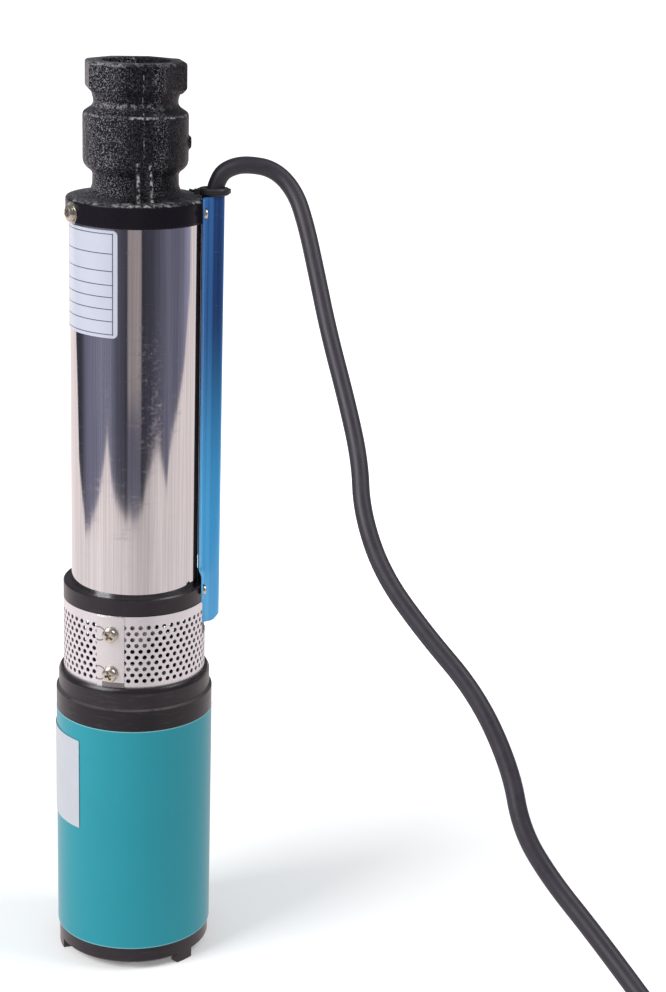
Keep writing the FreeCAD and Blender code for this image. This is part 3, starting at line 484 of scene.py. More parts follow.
def polishedSteel(place):
    # drawn stainless tube: nearly a mirror, with streaks and hairlines along it and two scuffed patches
    streaks = place.stretched((900, 900, 10)).noise(1.0, 4, 0.6)
    wide = place.stretched((160, 160, 3)).noise(1.0, 3, 0.6)
    hairline = place.stretched((420, 420, 5)).noise(1.0, 2, 0.5).between(0.69, 0.73)
    haze = place.noise(28, 4, 0.6)
    shade = (streaks * 0.6 + wide * 0.4).between(0.25, 0.75).colour((0.54, 0.53, 0.54), (0.78, 0.77, 0.78))
    height, azimuth = place.part("Z"), place.azimuth()
    right = azimuth.near(14, 20, 6) * height.near(0.375, 0.060, 0.020)
    left = azimuth.near(-34, 22, 8) * height.near(0.380, 0.045, 0.015)
    worn = place.stretched((330, 330, 520), (0.5, 0.3, 0.0)).noise(1.0, 5, 0.75).between(0.44, 0.70)
    scuffs = right.most(left * 0.6) * worn
    smears = place.stretched((60, 60, 260)).noise(1.0, 5, 0.7).between(0.55, 0.70)
    place.paint(Base_Color=(hairline * 0.25).colour(shade, (0.16, 0.16, 0.18)), Metallic=1.0,
                Roughness=0.045 + haze * 0.04 + streaks * 0.02 + smears * 0.07 + scuffs * 0.16,
                Normal=(streaks + wide).bump(0.00003, 0.25))


def brightSteel(place):
    # bright stainless sheet and turned parts
    brush = place.stretched((1400, 1400, 90)).noise(1.0, 4, 0.6)
    haze = place.noise(40, 3, 0.5)
    place.paint(Base_Color=haze.colour((0.60, 0.59, 0.60), (0.74, 0.73, 0.74)), Metallic=1.0,
                Roughness=0.24 + brush * 0.12 + haze * 0.06, Normal=brush.bump(0.00005, 0.3))


def strainerSteel(place):
    # bright rolled sheet round the strainer's holes
    brush = place.stretched((160, 160, 1400)).noise(1.0, 4, 0.6)
    haze = place.noise(55, 4, 0.6)
    place.paint(Base_Color=haze.colour((0.78, 0.75, 0.78), (0.90, 0.88, 0.91)), Metallic=0.8,
                Roughness=0.24 + brush * 0.12 + haze * 0.06, Normal=brush.bump(0.00004, 0.3))


def strapSteel(place):
    # the plain lap, marked round its screws, with painted shade at its lower right corner
    brush = place.stretched((120, 120, 1400)).noise(1.0, 4, 0.6)
    haze = place.noise(90, 4, 0.6)
    height, azimuth = place.part("Z"), place.azimuth()
    # painted shade: the lower right corner is darkened
    cornerShade = (azimuth > -26.0) * (height < 0.1905) * (haze * 0.5 + 0.6)
    ring = place.sum("MULTIPLY", 0.0)
    for _, radius, _, level, _ in screws["strainer_pan_screws"]["places"]:
        # a ring mark to the left of each screw
        sideways = azimuth * (radius * math.pi / 180) - strainer["markAcross"]
        upwards = height - level
        fromMark = place.sum("SQRT", sideways * sideways + upwards * upwards)
        ring = ring.most(fromMark.near(strainer["markRadius"], 0.0007, 0.0002))
    shade = haze.colour((0.76, 0.74, 0.75), (0.88, 0.86, 0.87))
    # the ring marks are real marks; the dark corner is painted shade
    marksAndShade = (ring * 0.7 + cornerShade * 0.9).colour(shade, (0.10, 0.09, 0.10))
    place.paint(Base_Color=marksAndShade, Metallic=0.85, Roughness=0.26 + brush * 0.12 + haze * 0.06,
                Normal=(brush * 0.3 + ring).bump(0.00012, 0.4))


def blueSheet(place):
    # clear blue coat over drawn bright sheet, streaked along it, with a painted reflection: light and dark
    # bands across it and a deeper blue towards the top
    streaks = place.stretched((700, 700, 6)).noise(1.0, 4, 0.6)
    wide = place.stretched((260, 260, 2)).noise(1.0, 2, 0.5)
    scratches = place.stretched((90, 90, 900)).noise(1.0, 4, 0.7).between(0.66, 0.72)
    height = place.part("Z")
    seat = guard["ringSeat"] + guard["sheet"]
    across = (place.part("X") - seat) / (guard["outer"] - seat)
    # painted reflection: light and dark bands across the guard's faces, lightest at both edges
    reflectionBands = across.ramp((0.0, 0.9), (0.08, 0.50), (0.16, 0.85), (0.32, 0.80), (0.42, 0.05), (0.56, 0.16),
                        (0.66, 0.05), (0.84, 0.16), (0.93, 0.45), (1.0, 1.0))
    tone = reflectionBands * 0.85 + streaks * 0.35 + wide * 0.20 - 0.25
    darkTopReflection = tone.colour((0.007, 0.036, 0.155), (0.055, 0.235, 0.620))
    light = tone.colour((0.060, 0.390, 0.760), (0.110, 0.530, 0.940))
    # painted reflection: deeper blue towards the top, paler blue lower down
    shade = height.between(0.42, 0.28).colour(darkTopReflection, light)
    place.paint(Base_Color=(scratches * 0.3).colour(shade, (0.45, 0.60, 0.80)), Metallic=0.12,
                Roughness=0.14 + streaks * 0.12, Normal=streaks.bump(0.00005, 0.3), Coat_Weight=0.3,
                Coat_Roughness=0.08)


def cableRubber(place):
    # matt rubber sheath with a little chalky dust
    dust = place.noise(120, 4, 0.6)
    grain = place.noise(1800, 2, 0.5)
    waves = place.noise(55, 2, 0.5)
    place.paint(Base_Color=dust.colour((0.0205, 0.0168, 0.0245), (0.047, 0.040, 0.056)),
                Roughness=0.40 + dust * 0.14, Normal=(grain * 0.2 + waves).bump(0.0006, 0.5),
                Specular_IOR_Level=0.45)


def blackPlastic(place):
    grain = place.noise(1300, 2, 0.5)
    mottle = place.noise(90, 3, 0.5)
    place.paint(Base_Color=mottle.colour((0.014, 0.014, 0.015), (0.028, 0.028, 0.029)),
                Roughness=0.38 + grain * 0.16, Normal=grain.bump(0.00012, 0.4))


def screwSteel(place):
    # plated steel with a warm tint
    tint = place.noise(320, 3, 0.6)
    grain = place.noise(1500, 2, 0.5)
    place.paint(Base_Color=tint.colour((0.62, 0.56, 0.44), (0.74, 0.72, 0.66)), Metallic=1.0,
                Roughness=0.20 + tint * 0.14, Normal=grain.bump(0.00010, 0.3))


def machinedBrass(place):
    turned = place.stretched((90, 90, 2200)).noise(1.0, 2, 0.5)
    stain = place.noise(160, 4, 0.6)
    place.paint(Base_Color=stain.colour((0.48, 0.31, 0.10), (0.66, 0.46, 0.18)), Metallic=1.0,
                Roughness=0.24 + turned * 0.16, Normal=turned.bump(0.00005, 0.4))


def sheetStack(place):
    # the edges of stacked electrical sheet
    layers = place.stretched((3, 3, 2000)).noise(1.0, 1, 0.5)
    rust = place.noise(70, 4, 0.6)
    place.paint(Base_Color=rust.colour((0.13, 0.13, 0.15), (0.24, 0.21, 0.20)), Metallic=0.8,
                Roughness=0.38 + layers * 0.2, Normal=layers.bump(0.0002, 0.7))


def copperWire(place):
    # varnished windings: close turns of round wire
    turns = place.node("ShaderNodeTexWave", {"wave_type": "BANDS"}, {
        "Vector": place.stretched((260, 260, 160)), "Scale": 3.0, "Distortion": 1.5, "Detail": 1.0})
    varnish = place.noise(90, 4, 0.6)
    place.paint(Base_Color=varnish.colour((0.42, 0.13, 0.045), (0.62, 0.25, 0.09)), Metallic=0.9,
                Roughness=0.26 + varnish * 0.14, Normal=turns.bump(0.0005, 0.8))


def magnetGrey(place):
    spots = place.noise(260, 4, 0.6)
    place.paint(Base_Color=spots.colour((0.20, 0.20, 0.21), (0.34, 0.34, 0.35)), Metallic=0.7,
                Roughness=0.34 + spots * 0.2, Normal=spots.bump(0.0001, 0.4))


def lappedCeramic(place):
    spots = place.noise(500, 4, 0.6)
    place.paint(Base_Color=spots.colour((0.66, 0.63, 0.58), (0.78, 0.76, 0.72)),
                Roughness=0.14 + spots * 0.10, Normal=spots.bump(0.00005, 0.3))


def stagePlastic(place):
    # moulded grey-green plastic of the stages
    flow = place.noise(35, 4, 0.6)
    grain = place.noise(1300, 2, 0.5)
    place.paint(Base_Color=flow.colour((0.055, 0.058, 0.055), (0.095, 0.098, 0.092)),
                Roughness=0.36 + grain * 0.14, Normal=grain.bump(0.00012, 0.4))


def plainSticker(place):
    cloud = place.noise(60, 3, 0.5)
    grain = place.noise(2200, 2, 0.5)
    place.paint(Base_Color=cloud.colour((0.49, 0.51, 0.56), (0.56, 0.58, 0.63)),
                Roughness=0.30 + grain * 0.08, Normal=grain.bump(0.00003, 0.4))


def ruledSticker(place):
    # pale sticker with a dark frame and ruled rows, and nothing written in them
    height, azimuth = place.part("Z"), place.azimuth()
    inside = (azimuth < sticker["to"]) * (azimuth > sticker["from"])
    inside = inside * (height < sticker["top"]) * (height > sticker["low"])
    lines = (azimuth - sticker["end"]).size() < sticker["endHalf"]
    for level in sticker["rows"]:
        lines = lines.most((height - level).size() < sticker["rowHalf"])
    ink = inside * lines
    cloud = place.noise(60, 3, 0.5)
    paper = cloud.colour((0.52, 0.535, 0.63), (0.58, 0.595, 0.69))
    place.paint(Base_Color=(ink * 0.9).colour(paper, (0.05, 0.06, 0.09)), Roughness=0.24,
                Normal=cloud.bump(0.00003, 0.3))


makers = {
    "castingBlack": (castingBlack, ["outlet_head"]),
    "satinBlack": (satinBlack, ["suction_body", "motor_head", "base_cap"]),
    "tealCoat": (tealCoat, ["motor_shell"]),
    "polishedSteel": (polishedSteel, ["pump_tube"]),
    "strainerSteel": (strainerSteel, ["strainer_screen"]),
    "strapSteel": (strapSteel, []),
    "brightSteel": (brightSteel, ["tie_bolts", "motor_shaft", "lower_bearing_outer",
                                  "lower_bearing_inner", "lower_bearing_balls", "upper_bearing_outer",
                                  "upper_bearing_inner", "upper_bearing_balls", "shaft_coupling",
                                  "coupling_screws", "suction_bolts", "pump_shaft", "shaft_nut",
                                  "valve_spring"]),
    "blueSheet": (blueSheet, ["cable_guard"]),
    "cableRubber": (cableRubber, ["held_lead", "lower_shell_ring", "upper_shell_ring", "seal_bellows",
                                  "valve_seal", "top_bearing_bush", "cable_grommet"]),
    "blackPlastic": (blackPlastic, ["cable_tie", "coil_tie", "top_bearing_carrier"]),
    "screwSteel": (screwSteel, ["strainer_screws", "rim_screw", "guard_screws"]),
    "machinedBrass": (machinedBrass, ["cable_gland", "valve_seat", "valve_poppet", "valve_guide"]),
    "sheetStack": (sheetStack, ["stator_core", "rotor_core"]),
    "copperWire": (copperWire, ["stator_windings", "lead_cores"]),
    "magnetGrey": (magnetGrey, ["rotor_magnets"]),
    "lappedCeramic": (lappedCeramic, ["seal_seat", "seal_ring"]),
    "stagePlastic": (stagePlastic, ["impeller_%d" % k for k in range(1, 6)]
                     + ["diffuser_bowl_%d" % k for k in range(1, 6)]),
    "plainSticker": (plainSticker, ["motor_label"]),
    "ruledSticker": (ruledSticker, ["tube_label"]),
}
finishes = {}
for name, (maker, nodes) in makers.items():
    finishes[name] = newMaterial(name, maker)
    for node in nodes:
        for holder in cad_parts[node].material_slots:
            holder.material = finishes[name]
freeCable.data.materials.append(finishes["cableRubber"])
print("materials ready")


# Helpers for modelling
def startFresh():
    bpy.ops.object.select_all(action="DESELECT")


def only(piece):
    startFresh()
    piece.select_set(True)
    bpy.context.view_layer.objects.active = piece


def made(add, **settings):
    # a new object by one of the operators that add one
    startFresh()
    add(**settings)
    return bpy.context.object


def settle(piece):
    # its place goes into its mesh
    only(piece)
    bpy.ops.object.transform_apply(location=True, rotation=True, scale=True)


def applyModifiers(piece):
    only(piece)
    for modifier in list(piece.modifiers):
        bpy.ops.object.modifier_apply(modifier=modifier.name)


def edit(piece, kind=None, action="SELECT"):
    # starts edit mode with everything selected, or nothing
    only(piece)
    bpy.ops.object.mode_set(mode="EDIT")
    if kind:
        bpy.ops.mesh.select_mode(type=kind)
    bpy.ops.mesh.select_all(action=action)


def endEdit():
    bpy.ops.object.mode_set(mode="OBJECT")


def pick(piece, kind, wanted):
    # starts edit mode with the wanted faces, edges or vertices selected
    edit(piece, kind, "DESELECT")
    endEdit()
    mesh = piece.data
    for item in {"FACE": mesh.polygons, "EDGE": mesh.edges, "VERT": mesh.vertices}[kind]:
        item.select = wanted(item)
    bpy.ops.object.mode_set(mode="EDIT")


def drawOut(rise, grow, level=0):
    # what is selected is drawn out upwards and made wider or narrower round the axis
    bpy.ops.mesh.extrude_region_move(TRANSFORM_OT_translate={"value": (0, 0, rise)})
    bpy.ops.transform.resize(value=(grow, grow, 1), center_override=(0, 0, level))


def facesUp(face):
    return face.normal.z > 0.9


def facesDown(face):
    return face.normal.z < -0.9


def outward(piece):
    edit(piece)
    bpy.ops.mesh.remove_doubles(threshold=0.00001)
    bpy.ops.mesh.normals_make_consistent(inside=False)
    endEdit()


def joinAll(pieces, name):
    only(pieces[0])
    for piece in pieces[1:]:
        piece.select_set(True)
    bpy.ops.object.join()
    whole = bpy.context.object
    whole.name = name
    return whole


def cutBy(piece, *tools):
    for tool in tools:
        cut = piece.modifiers.new("cut", "BOOLEAN")
        cut.operation = "DIFFERENCE"
        cut.object = tool
    applyModifiers(piece)
    for tool in tools:
        bpy.data.objects.remove(tool)


def thicken(piece, sheet):
    # the sheet grows inwards
    thick = piece.modifiers.new("thick", "SOLIDIFY")
    thick.thickness = sheet
    thick.offset = -1


def rounded(piece, width, segments=2, angle=60):
    edges = piece.modifiers.new("edges", "BEVEL")
    edges.width = width
    edges.segments = segments
    edges.angle_limit = math.radians(angle)


def wound(piece, pitch, turns, steps):
    # an upright outline is run up a helix round the pump's axis
    helix = piece.modifiers.new("helix", "SCREW")
    helix.axis = "Z"
    helix.screw_offset = pitch
    helix.iterations = turns
    helix.steps = steps
    helix.render_steps = steps
    applyModifiers(piece)


def dress(piece, finish, angle, nodes=()):
    # material, smooth shading, the body that it rides on and the node that it stands for
    piece.data.materials.clear()
    piece.data.materials.append(finishes[finish])
    only(piece)
    bpy.ops.object.shade_smooth_by_angle(angle=math.radians(angle))
    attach(piece, "pump")
    if nodes:
        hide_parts(*nodes)


def roundBar(radius, length, middle, sides=32):
    piece = made(bpy.ops.mesh.primitive_cylinder_add, vertices=sides, radius=radius, depth=length,
                 location=middle)
    settle(piece)
    return piece


def plainBlock(middle, size):
    piece = made(bpy.ops.mesh.primitive_cube_add, size=1, location=middle)
    piece.scale = size
    settle(piece)
    return piece


def taperedBar(low, high, lowSize, highSize, lowPlace, highPlace):
    # an upright four-sided bar, with its size along X and across it, and its place along X, at both ends
    piece = plainBlock((0, 0, (low + high) / 2), (1, 1, high - low))
    ends = [(facesDown, lowSize, lowPlace, low), (facesUp, highSize, highPlace, high)]
    for wanted, size, place, level in ends:
        pick(piece, "FACE", wanted)
        bpy.ops.transform.resize(value=(size[0], size[1], 1), center_override=(0, 0, level))
        bpy.ops.transform.translate(value=(place, 0, 0))
        endEdit()
    return piece


def azimuthOf(place):
    # from the front towards the cable guard, in degrees
    return math.degrees(math.atan2(place.x, -place.y))


def turnedRing(rings, sides):
    # a round body drawn out from a circle, ring by ring, and closed on its first ring
    radius, height = rings[0]
    piece = made(bpy.ops.mesh.primitive_circle_add, vertices=sides, radius=radius, location=(0, 0, height))
    settle(piece)
    edit(piece, "VERT")
    for (radius, height), (nextRadius, nextHeight) in zip(rings, rings[1:]):
        drawOut(nextHeight - height, nextRadius / radius, nextHeight)
    bpy.ops.mesh.select_all(action="DESELECT")
    bpy.ops.mesh.select_non_manifold()
    bpy.ops.mesh.bridge_edge_loops()
    endEdit()
    outward(piece)
    return piece


def aimed(piece, azimuth, radius, side, height):
    # a piece made along +Z at the origin goes to the pump's side, pointing outwards
    angle = math.radians(azimuth - 90)
    along, across = math.cos(angle), math.sin(angle)
    piece.rotation_euler = (0, math.radians(90), angle)
    piece.location = (radius * along - side * across, radius * across + side * along, height)
    settle(piece)


# Outlet head: a sand casting with soft corners
def castingForm():
    # outside from the rim up, then down the bore
    low, high = casting["rimLow"], casting["rimTop"]
    rim, bore, top = casting["rimRadius"], casting["bore"], casting["top"]
    outside = [
        (0.0383, low), (rim - 0.0003, low), (rim, low + 0.0004), (rim, high - 0.0012),
        (rim - 0.0008, high), (0.0290, high + 0.0016), (0.0262, high + 0.0034), (0.0251, high + 0.0065),
        (0.0249, high + 0.0132), (0.0258, high + 0.0146), (0.0285, high + 0.0168), (0.0300, high + 0.0188),
        (0.0305, high + 0.0212), (0.0305, high + 0.0462), (0.0302, high + 0.0476), (0.0294, high + 0.0486),
        (0.0272, high + 0.0500), (0.0252, high + 0.0514), (0.0244, high + 0.0532), (0.0244, high + 0.0556),
        (0.0250, high + 0.0572), (0.0256, top - 0.0160), (0.0256, top - 0.0010),
    ]
    inside = [
        (bore + 0.0012, top - 0.0010), (bore, top - 0.0024), (bore, 0.5294), (0.0186, 0.5290),
        (0.0186, 0.5252), (0.0175, 0.5250), (0.0175, 0.5225), (0.0236, 0.5165), (0.0236, 0.4985),
        (0.0191, 0.4950), (0.0191, 0.4862), (0.0175, 0.4858), (0.0175, 0.4820), (0.0330, 0.4730),
        (0.0340, 0.4705), (0.0383, 0.4704),
    ]
    return turnedRing(outside + inside, 160)


def spannerOctagon():
    # eight flats, drawn in below to meet the neck and a little on top
    flats, top = casting["octagonFlats"], casting["top"]
    corner = flats / 2 / math.cos(math.pi / 8)
    piece = made(bpy.ops.mesh.primitive_cylinder_add, vertices=8, radius=corner,
                 depth=casting["octagonHeight"], location=(0, 0, top - casting["octagonMiddleBelow"]))
    turn = math.radians(casting["octagonTurn"])
    first = math.atan2(piece.data.vertices[0].co.y, piece.data.vertices[0].co.x)
    piece.rotation_euler = (0, 0, turn - first)
    settle(piece)
    for wanted, grow, rise in ((facesDown, 0.90, -0.0030), (facesUp, 0.955, 0.0012)):
        pick(piece, "FACE", wanted)
        drawOut(rise, grow, top)
        endEdit()
    cutBy(piece, roundBar(casting["bore"], 0.040, (0, 0, top - 0.010), 96))
    return piece


def castingRib(azimuth):
    # a web with two raised edges that runs out on the rim in a wider foot
    low, high = casting["rimTop"] - 0.002, casting["rimTop"] + casting["ribHeight"]
    web = taperedBar(low, high, *casting["web"])
    ridges = []
    for side in (-1, 1):
        ridge = taperedBar(low, high - 0.001, *casting["ridge"])
        ridge.location.y = side * casting["ridgeShift"]
        settle(ridge)
        ridges.append(ridge)
    rib = joinAll([web] + ridges, "rib")
    rib.rotation_euler = (0, 0, math.radians(azimuth - 90))
    settle(rib)
    return rib


def addCasting():
    # with a seat for the guard's flanges at both sides of a channel for the lead
    rim, middle = casting["rimTop"] - casting["rimLow"], (casting["rimLow"] + casting["rimTop"]) / 2
    parts = [castingForm(), spannerOctagon()]
    parts += [castingRib(casting["ribPlace"]), castingRib(casting["ribPlace"] + 180)]
    boss = roundBar(casting["bossRadius"], casting["bossLength"], (0, 0, 0), 24)
    aimed(boss, 90, casting["bossReach"], 0, casting["rimTop"] + casting["bossAbove"])
    parts.append(boss)
    (x, y), (depth, width) = casting["seatMiddle"], casting["seatSize"]
    for side in (-1, 1):
        parts.append(plainBlock((x, side * y, middle - 0.0002), (depth, width, rim - 0.0010)))
    head = joinAll(parts, "outlet_casting")
    melt = head.modifiers.new("melt", "REMESH")
    melt.mode = "VOXEL"
    melt.voxel_size = casting["voxel"]
    flatDepth = 0.0100
    flat = plainBlock((casting["guardFlat"] + flatDepth / 2, 0, middle),
                      (flatDepth, casting["guardFlatWidth"], rim + 0.0010))
    cutBy(head, flat, roundBar(casting["leadChannel"], rim + 0.006, (casting["leadPlace"], 0, middle), 48))
    soften = head.modifiers.new("soften", "SMOOTH")
    soften.factor = 0.5
    soften.iterations = 1
    applyModifiers(head)
    dress(head, "castingBlack", 60, ["outlet_head"])
    print("casting faces", len(head.data.polygons))


def addThread():
    # pipe thread in the outlet: one three-sided ridge run up a helix
    piece = made(bpy.ops.mesh.primitive_circle_add, vertices=3, radius=thread["ridge"],
                 location=(casting["bore"] - thread["sunk"], 0, thread["low"]))
    piece.rotation_euler = (math.radians(90), math.radians(-90), 0)
    settle(piece)
    wound(piece, thread["pitch"], thread["turns"], 64)
    outward(piece)
    piece.name = "outlet_thread"
    dress(piece, "castingBlack", 40)


def addValveSpring():
    # round wire run up a helix that fills the valve spring's box
    low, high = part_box("valve_spring")
    wire, turns, top = valveSpring["wire"], valveSpring["turns"], valveSpring["guideEnd"]
    coil = (high[0] - low[0]) / 2 - wire
    piece = made(bpy.ops.mesh.primitive_circle_add, vertices=12, radius=wire,
                 location=(coil, 0, low[2] + wire))
    piece.rotation_euler = (math.radians(90), 0, 0)
    settle(piece)
    wound(piece, (high[2] - low[2] - 2 * wire) / turns, turns, 48)
    edit(piece)
    bpy.ops.mesh.fill_holes(sides=0)
    endEdit()
    outward(piece)
    piece.name = "round_spring"
    dress(piece, "brightSteel", 40, ["valve_spring"])
    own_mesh(piece)


# Strainer: a sheet with staggered round holes, rolled into a band, and the lapped strap over its ends
def holeCell(width, height):
    # one cell of the sheet: a round hole in a rectangle, with points at each quarter of the rectangle's
    # lower and upper sides, where the next row's corners meet it
    cell = made(bpy.ops.mesh.primitive_circle_add, vertices=12, radius=strainer["hole"])
    edit(cell, "VERT")
    drawOut(0, 1.4)
    endEdit()
    grid = {0: (0.5, 0), 1: (0.5, 0.5), 2: (0.25, 0.5), 3: (0, 0.5)}
    for corner in cell.data.vertices:
        # only the outer ring, which was drawn out, goes to the rectangle
        if corner.co.length > strainer["hole"] * 1.2:
            step = round(math.degrees(math.atan2(corner.co.y, corner.co.x)) / 30)
            quarter = min(abs(step), 6 - abs(step))
            across, along = grid[quarter]
            sideX = -1 if abs(step) > 3 else 1
            sideY = -1 if step < 0 else 1
            corner.co.x = sideX * across * width
            corner.co.y = sideY * along * height
    return cell


def rolled(piece, radius):
    # an upright sheet along X is bent round the pump, and its ends meet
    across = [corner.co.x for corner in piece.data.vertices]
    bend = piece.modifiers.new("bend", "SIMPLE_DEFORM")
    bend.deform_method = "BEND"
    bend.deform_axis = "Z"
    bend.angle = (max(across) - min(across)) / radius
    applyModifiers(piece)
    piece.location = (0, -radius, 0)
    settle(piece)
    piece.rotation_euler = (0, 0, math.radians(strainer["turn"]))
    settle(piece)


def addStrainer():
    radius = strainer["radius"]
    width = 2 * math.pi * radius / strainer["columns"]
    height = strainer["rowPitch"]
    cell = holeCell(width, height)
    along = cell.modifiers.new("along", "ARRAY")
    along.count = strainer["columns"]
    along.use_merge_vertices = True
    along.merge_threshold = 0.00002
    applyModifiers(cell)
    only(cell)
    bpy.ops.object.duplicate()
    second = bpy.context.object
    second.location = (width / 2, height, 0)
    settle(second)
    rows = joinAll([cell, second], "perforated_strainer")
    upward = rows.modifiers.new("upward", "ARRAY")
    upward.use_relative_offset = False
    upward.use_constant_offset = True
    upward.constant_offset_displace = (0, 2 * height, 0)
    upward.count = strainer["rows"] // 2
    applyModifiers(rows)
    rows.location = (0, 0, strainer["firstRow"])
    rows.rotation_euler = (math.radians(90), 0, 0)
    settle(rows)
    rolled(rows, radius)
    outward(rows)
    edges = (strainer["firstRow"] - height / 2, strainer["firstRow"] + (strainer["rows"] - 0.5) * height)
    for level, target in zip(edges, (strainer["low"], strainer["top"])):
        heights = [corner.co.z for corner in rows.data.vertices]
        pick(rows, "EDGE", lambda edge: all(abs(heights[k] - level) < 0.0001 for k in edge.vertices))
        bpy.ops.mesh.extrude_edges_move(TRANSFORM_OT_translate={"value": (0, 0, target - level)})
        endEdit()
    thicken(rows, strainer["sheet"])
    applyModifiers(rows)
    # the guard's tail passes through a window in the band
    cutBy(rows, plainBlock((radius, 0, strainer["windowMiddle"]), (0.012, *strainer["windowSize"])))
    dress(rows, "strainerSteel", 30, ["strainer_screen"])
    print("strainer faces", len(rows.data.polygons))
    addStrap()


def addStrap():
    # the plain lap: a curved strip cut from a ring, with soft edges
    radius = strainer["radius"] + strainer["sheet"] - 0.0001
    low, high = strainer["strapLow"], strainer["strapTop"]
    strap = made(bpy.ops.mesh.primitive_cylinder_add, vertices=720, radius=radius, depth=high - low,
                 end_fill_type="NOTHING", location=(0, 0, (low + high) / 2))
    settle(strap)
    start, end = strainer["strapFrom"], strainer["strapTo"]
    pick(strap, "FACE", lambda face: not start < azimuthOf(face.center) < end)
    bpy.ops.mesh.delete(type="FACE")
    endEdit()
    thicken(strap, strainer["strapSheet"])
    rounded(strap, 0.00015)
    applyModifiers(strap)
    strap.name = "strainer_strap"
    dress(strap, "strapSteel", 12)


# Cable guard: one folded sheet with two flat flanges that step out over the suction ring
def foldedLine(points):
    # one point is drawn out along a line with folds
    piece = made(bpy.ops.mesh.primitive_plane_add, size=0.01, location=points[0])
    settle(piece)
    edit(piece, "VERT")
    bpy.ops.mesh.merge(type="CENTER")
    for start, end in zip(points, points[1:]):
        step = Vector(end) - Vector(start)
        bpy.ops.mesh.extrude_region_move(TRANSFORM_OT_translate={"value": step})
    endEdit()
    return piece


def addGuard():
    seat = guard["ringSeat"] + guard["sheet"]
    edge, mouth, crown, outer = guard["flangeEdge"], guard["mouth"], guard["crown"], guard["outer"]
    half = [(seat, -edge), (seat, -mouth), (outer, -crown)]
    outline = half + [(x, -y) for x, y in reversed(half)]
    piece = foldedLine([(x, y, guard["tail"]) for x, y in outline])
    levels = [guard["tail"], guard["flangeLow"], *guard["step"], guard["top"]]
    edit(piece)
    for low, high in zip(levels, levels[1:]):
        bpy.ops.mesh.extrude_region_move(TRANSFORM_OT_translate={"value": (0, 0, high - low)})
    endEdit()
    pick(piece, "FACE", lambda face: face.center.z < guard["flangeLow"] and abs(face.center.y) > mouth)
    bpy.ops.mesh.delete(type="FACE")
    endEdit()
    stepTop, nearly = guard["step"][1], 0.0001
    pick(piece, "VERT", lambda corner: corner.co.z > stepTop - nearly and corner.co.x < seat + nearly)
    bpy.ops.transform.translate(value=(guard["tubeSeat"] - guard["ringSeat"], 0, 0))
    # the tail's outer corner is cut round in three short cuts
    for lift, lean in guard["tailCuts"]:
        bpy.ops.mesh.select_all(action="SELECT")
        turn = math.radians(lean)
        place = (outer - guard["cutIn"] + lift * 0.9, 0, guard["tail"] + lift * 0.4)
        bpy.ops.mesh.bisect(plane_co=place, plane_no=(math.sin(turn), 0, -math.cos(turn)), clear_outer=True)
    endEdit()
    outward(piece)
    rounded(piece, guard["bend"], 4, 25)
    thicken(piece, guard["sheet"])
    rounded(piece, 0.00012)
    applyModifiers(piece)
    piece.name = "folded_guard"
    piece.visible_glossy = False
    dress(piece, "blueSheet", 30, ["cable_guard"])
    print("guard faces", len(piece.data.polygons))


# Cross-recessed pan screws
def panScrew(head, height, turn):
    # domed head with a raised collar and a cross recess, made upright
    collar = height * 0.35
    piece = roundBar(head, collar, (0, 0, collar / 2), 40)
    pick(piece, "FACE", facesUp)
    steps = [(0.93, 0.00), (0.97, 0.30), (0.93, 0.17), (0.84, 0.12), (0.70, 0.06)]
    for grow, rise in steps:
        drawOut(rise * height, grow)
    endEdit()
    # two tapered bars cut the cross
    bars = []
    for k in range(2):
        bottom, top = (head * 0.70, head * 0.22), (head * 1.25, head * 0.34)
        bar = taperedBar(height * 0.12, height * 1.2, bottom, top, 0, 0)
        bar.rotation_euler = (0, 0, math.radians(turn + 90 * k))
        settle(bar)
        bars.append(bar)
    cutBy(piece, *bars)
    return piece


def addScrews():
    for name, kind in screws.items():
        pieces = []
        for azimuth, radius, side, height, turn in kind["places"]:
            pieces.append(panScrew(*kind["head"], turn))
            aimed(pieces[-1], azimuth, radius, side, height)
        if "washer" in kind:
            wide, thick = kind["washer"]
            disc = roundBar(wide, thick, (0, 0, 0), 48)
            aimed(disc, azimuth, radius - thick / 2, side, height)
            rounded(disc, 0.0003, 2, 30)
            applyModifiers(disc)
            pieces.append(disc)
        dress(joinAll(pieces, name), "screwSteel", 30, [kind["node"]])


addCasting()
addThread()
addValveSpring()
print("outlet head made")
addStrainer()
print("strainer made")
addGuard()
print("guard made")
addScrews()
print("screws made")


# Stage: a white floor that runs on without an edge, and two soft lights
studio = {
    "floorSize": 40.0,
    "aim": (0, 0, 0.28),
    "key": {"place": (-1.65, -1.0, 1.6), "size": 1.1, "power": 42.0},
    "fill": {"place": (1.5, -0.3, 2.0), "size": 0.9, "power": 17.0},
    # colour and strength
    "around": ((0.95, 0.97, 1.0, 1), 0.42),
    "aroundMirrored": ((0.95, 0.95, 1.0, 1), 0.22),
    "backdrop": ((1, 1, 1, 1), 1.0),
}
# how far from the pump the studio's dark side begins on the floor, in metres, by azimuth in degrees
darkSide = [(-130, 2.0), (-118, 1.15), (-98, 0.88), (-83, 0.92), (-67, 1.02), (-57, 1.14), (-50, 1.28),
            (-42, 1.10), (-34, 1.02), (-21, 0.97), (0, 0.95), (12, 0.98), (20, 1.09), (38, 1.24), (45, 1.20),
            (58, 1.07), (66, 1.25), (82, 1.42), (96, 1.62), (112, 2.2)]
# how light that dark side is, by azimuth
darkTones = [(-130, 0.045), (-108, 0.080), (-95, 0.240), (-60, 0.330), (-44, 0.280), (-34, 0.150),
             (-14, 0.075), (10, 0.060), (30, 0.085), (40, 0.130), (60, 0.230), (76, 0.200), (88, 0.220),
             (96, 0.300), (112, 0.550)]


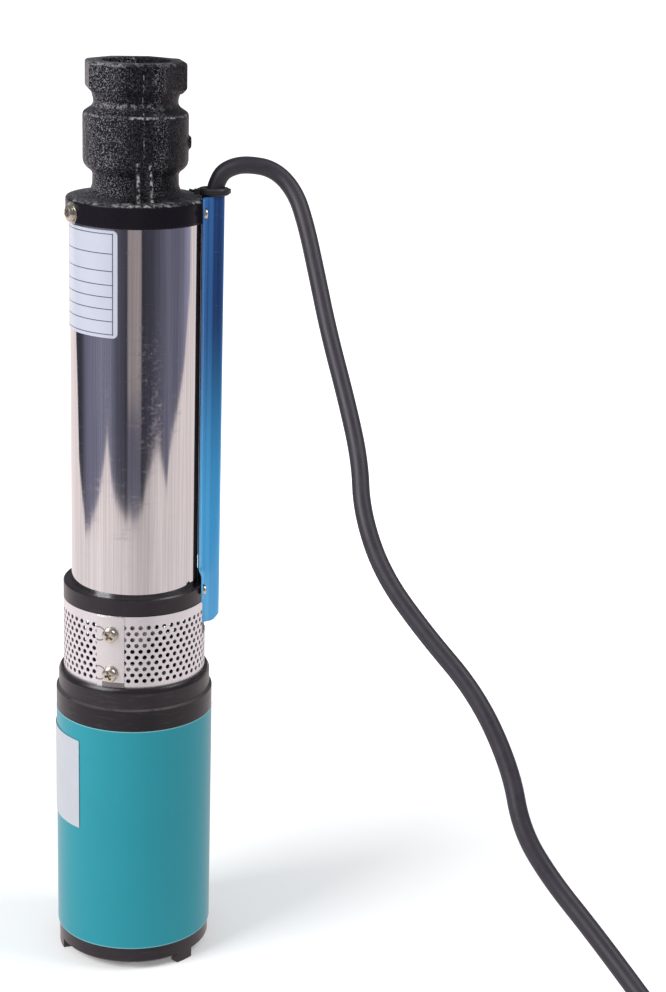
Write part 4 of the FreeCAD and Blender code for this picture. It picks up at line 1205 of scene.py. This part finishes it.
def floorPaint(place):
    # white to the camera, and with the studio's dark far side where polished metal mirrors it
    toCamera, toGloss = place.ray("Camera"), place.ray("Glossy")
    azimuth, away = place.azimuth(), place.away()
    first, last = darkSide[0][0], darkSide[-1][0]
    width = last - first
    turned = (azimuth - first) / width
    # a ramp holds shares from 0 to 1, so the distances go in halved
    edge = turned.ramp(*[((turn - first) / width, reach / 2) for turn, reach in darkSide]) * 2.0
    ragged = place.noise(9.0, 4, 0.6) * 0.08 - 0.04
    dark = (away - edge - ragged).between(0.0, 0.03) * (azimuth > first) * (azimuth < last)
    # a paler band stands in the middle of that side
    band = azimuth.between(-14.5, -12.0) * azimuth.between(11.5, 9.5)
    far = away.between(1.3, 1.6)
    slate = turned.ramp(*[((turn - first) / width, tone) for turn, tone in darkTones])
    tinted = slate.colour((0, 0, 0), (0.80, 0.79, 1.10))
    pale = far.colour((0.150, 0.145, 0.195), (0.400, 0.345, 0.345))
    shade = band.colour(tinted, pale)
    light = away.between(0.75, 1.0).colour((1.05, 0.95, 0.95), (1.08, 0.96, 0.95))
    sweep = turned.ramp((0.0, 1.0), (0.30, 0.98), (0.47, 0.84), (0.56, 0.70), (0.635, 0.64), (0.71, 0.84),
                        (1.0, 0.86))
    swept = sweep.colour((0, 0, 0), light)
    mirror = dark.colour(swept, shade)
    white = place.node("ShaderNodeBsdfDiffuse", {}, {"Color": (0.93, 0.93, 0.93, 1)})
    glow = place.node("ShaderNodeEmission", {}, {
        "Color": (1, 1, 1, 1), "Strength": toCamera * (away.between(0.1, 0.8) * 0.6 + 0.20)})
    mirrored = place.node("ShaderNodeEmission", {}, {"Color": mirror, "Strength": 1.0})
    seen = place.node("ShaderNodeAddShader", {}, {0: white, 1: glow})
    place.node("ShaderNodeOutputMaterial", {}, {"Surface": toGloss.shaders(seen, mirrored)}, None)


def addStage():
    floor = made(bpy.ops.mesh.primitive_plane_add, size=studio["floorSize"], location=(0, 0, 0))
    floor.name = "floor"
    floor.data.materials.append(newMaterial("floorPaint", floorPaint))


def addLight(name):
    kind = studio[name]
    lamp = made(bpy.ops.object.light_add, type="AREA", location=kind["place"])
    lamp.name = name
    lamp.data.size = kind["size"]
    lamp.data.energy = kind["power"]
    aim = Vector(studio["aim"]) - Vector(kind["place"])
    lamp.rotation_euler = aim.to_track_quat("-Z", "Y").to_euler()


def setWorld():
    world = bpy.data.worlds.new("studio")
    tree = emptyTree(world)

    def background(name):
        colour, power = studio[name]
        return tree.node("ShaderNodeBackground", {}, {"Color": colour, "Strength": power})

    lit = tree.ray("Glossy").shaders(background("around"), background("aroundMirrored"))
    seen = tree.ray("Camera").shaders(lit, background("backdrop"))
    tree.node("ShaderNodeOutputWorld", {}, {"Surface": seen}, None)
    bpy.context.scene.world = world


addStage()
addLight("key")
addLight("fill")
setWorld()
bpy.context.scene.view_settings.view_transform = "Standard"
print("stage set")
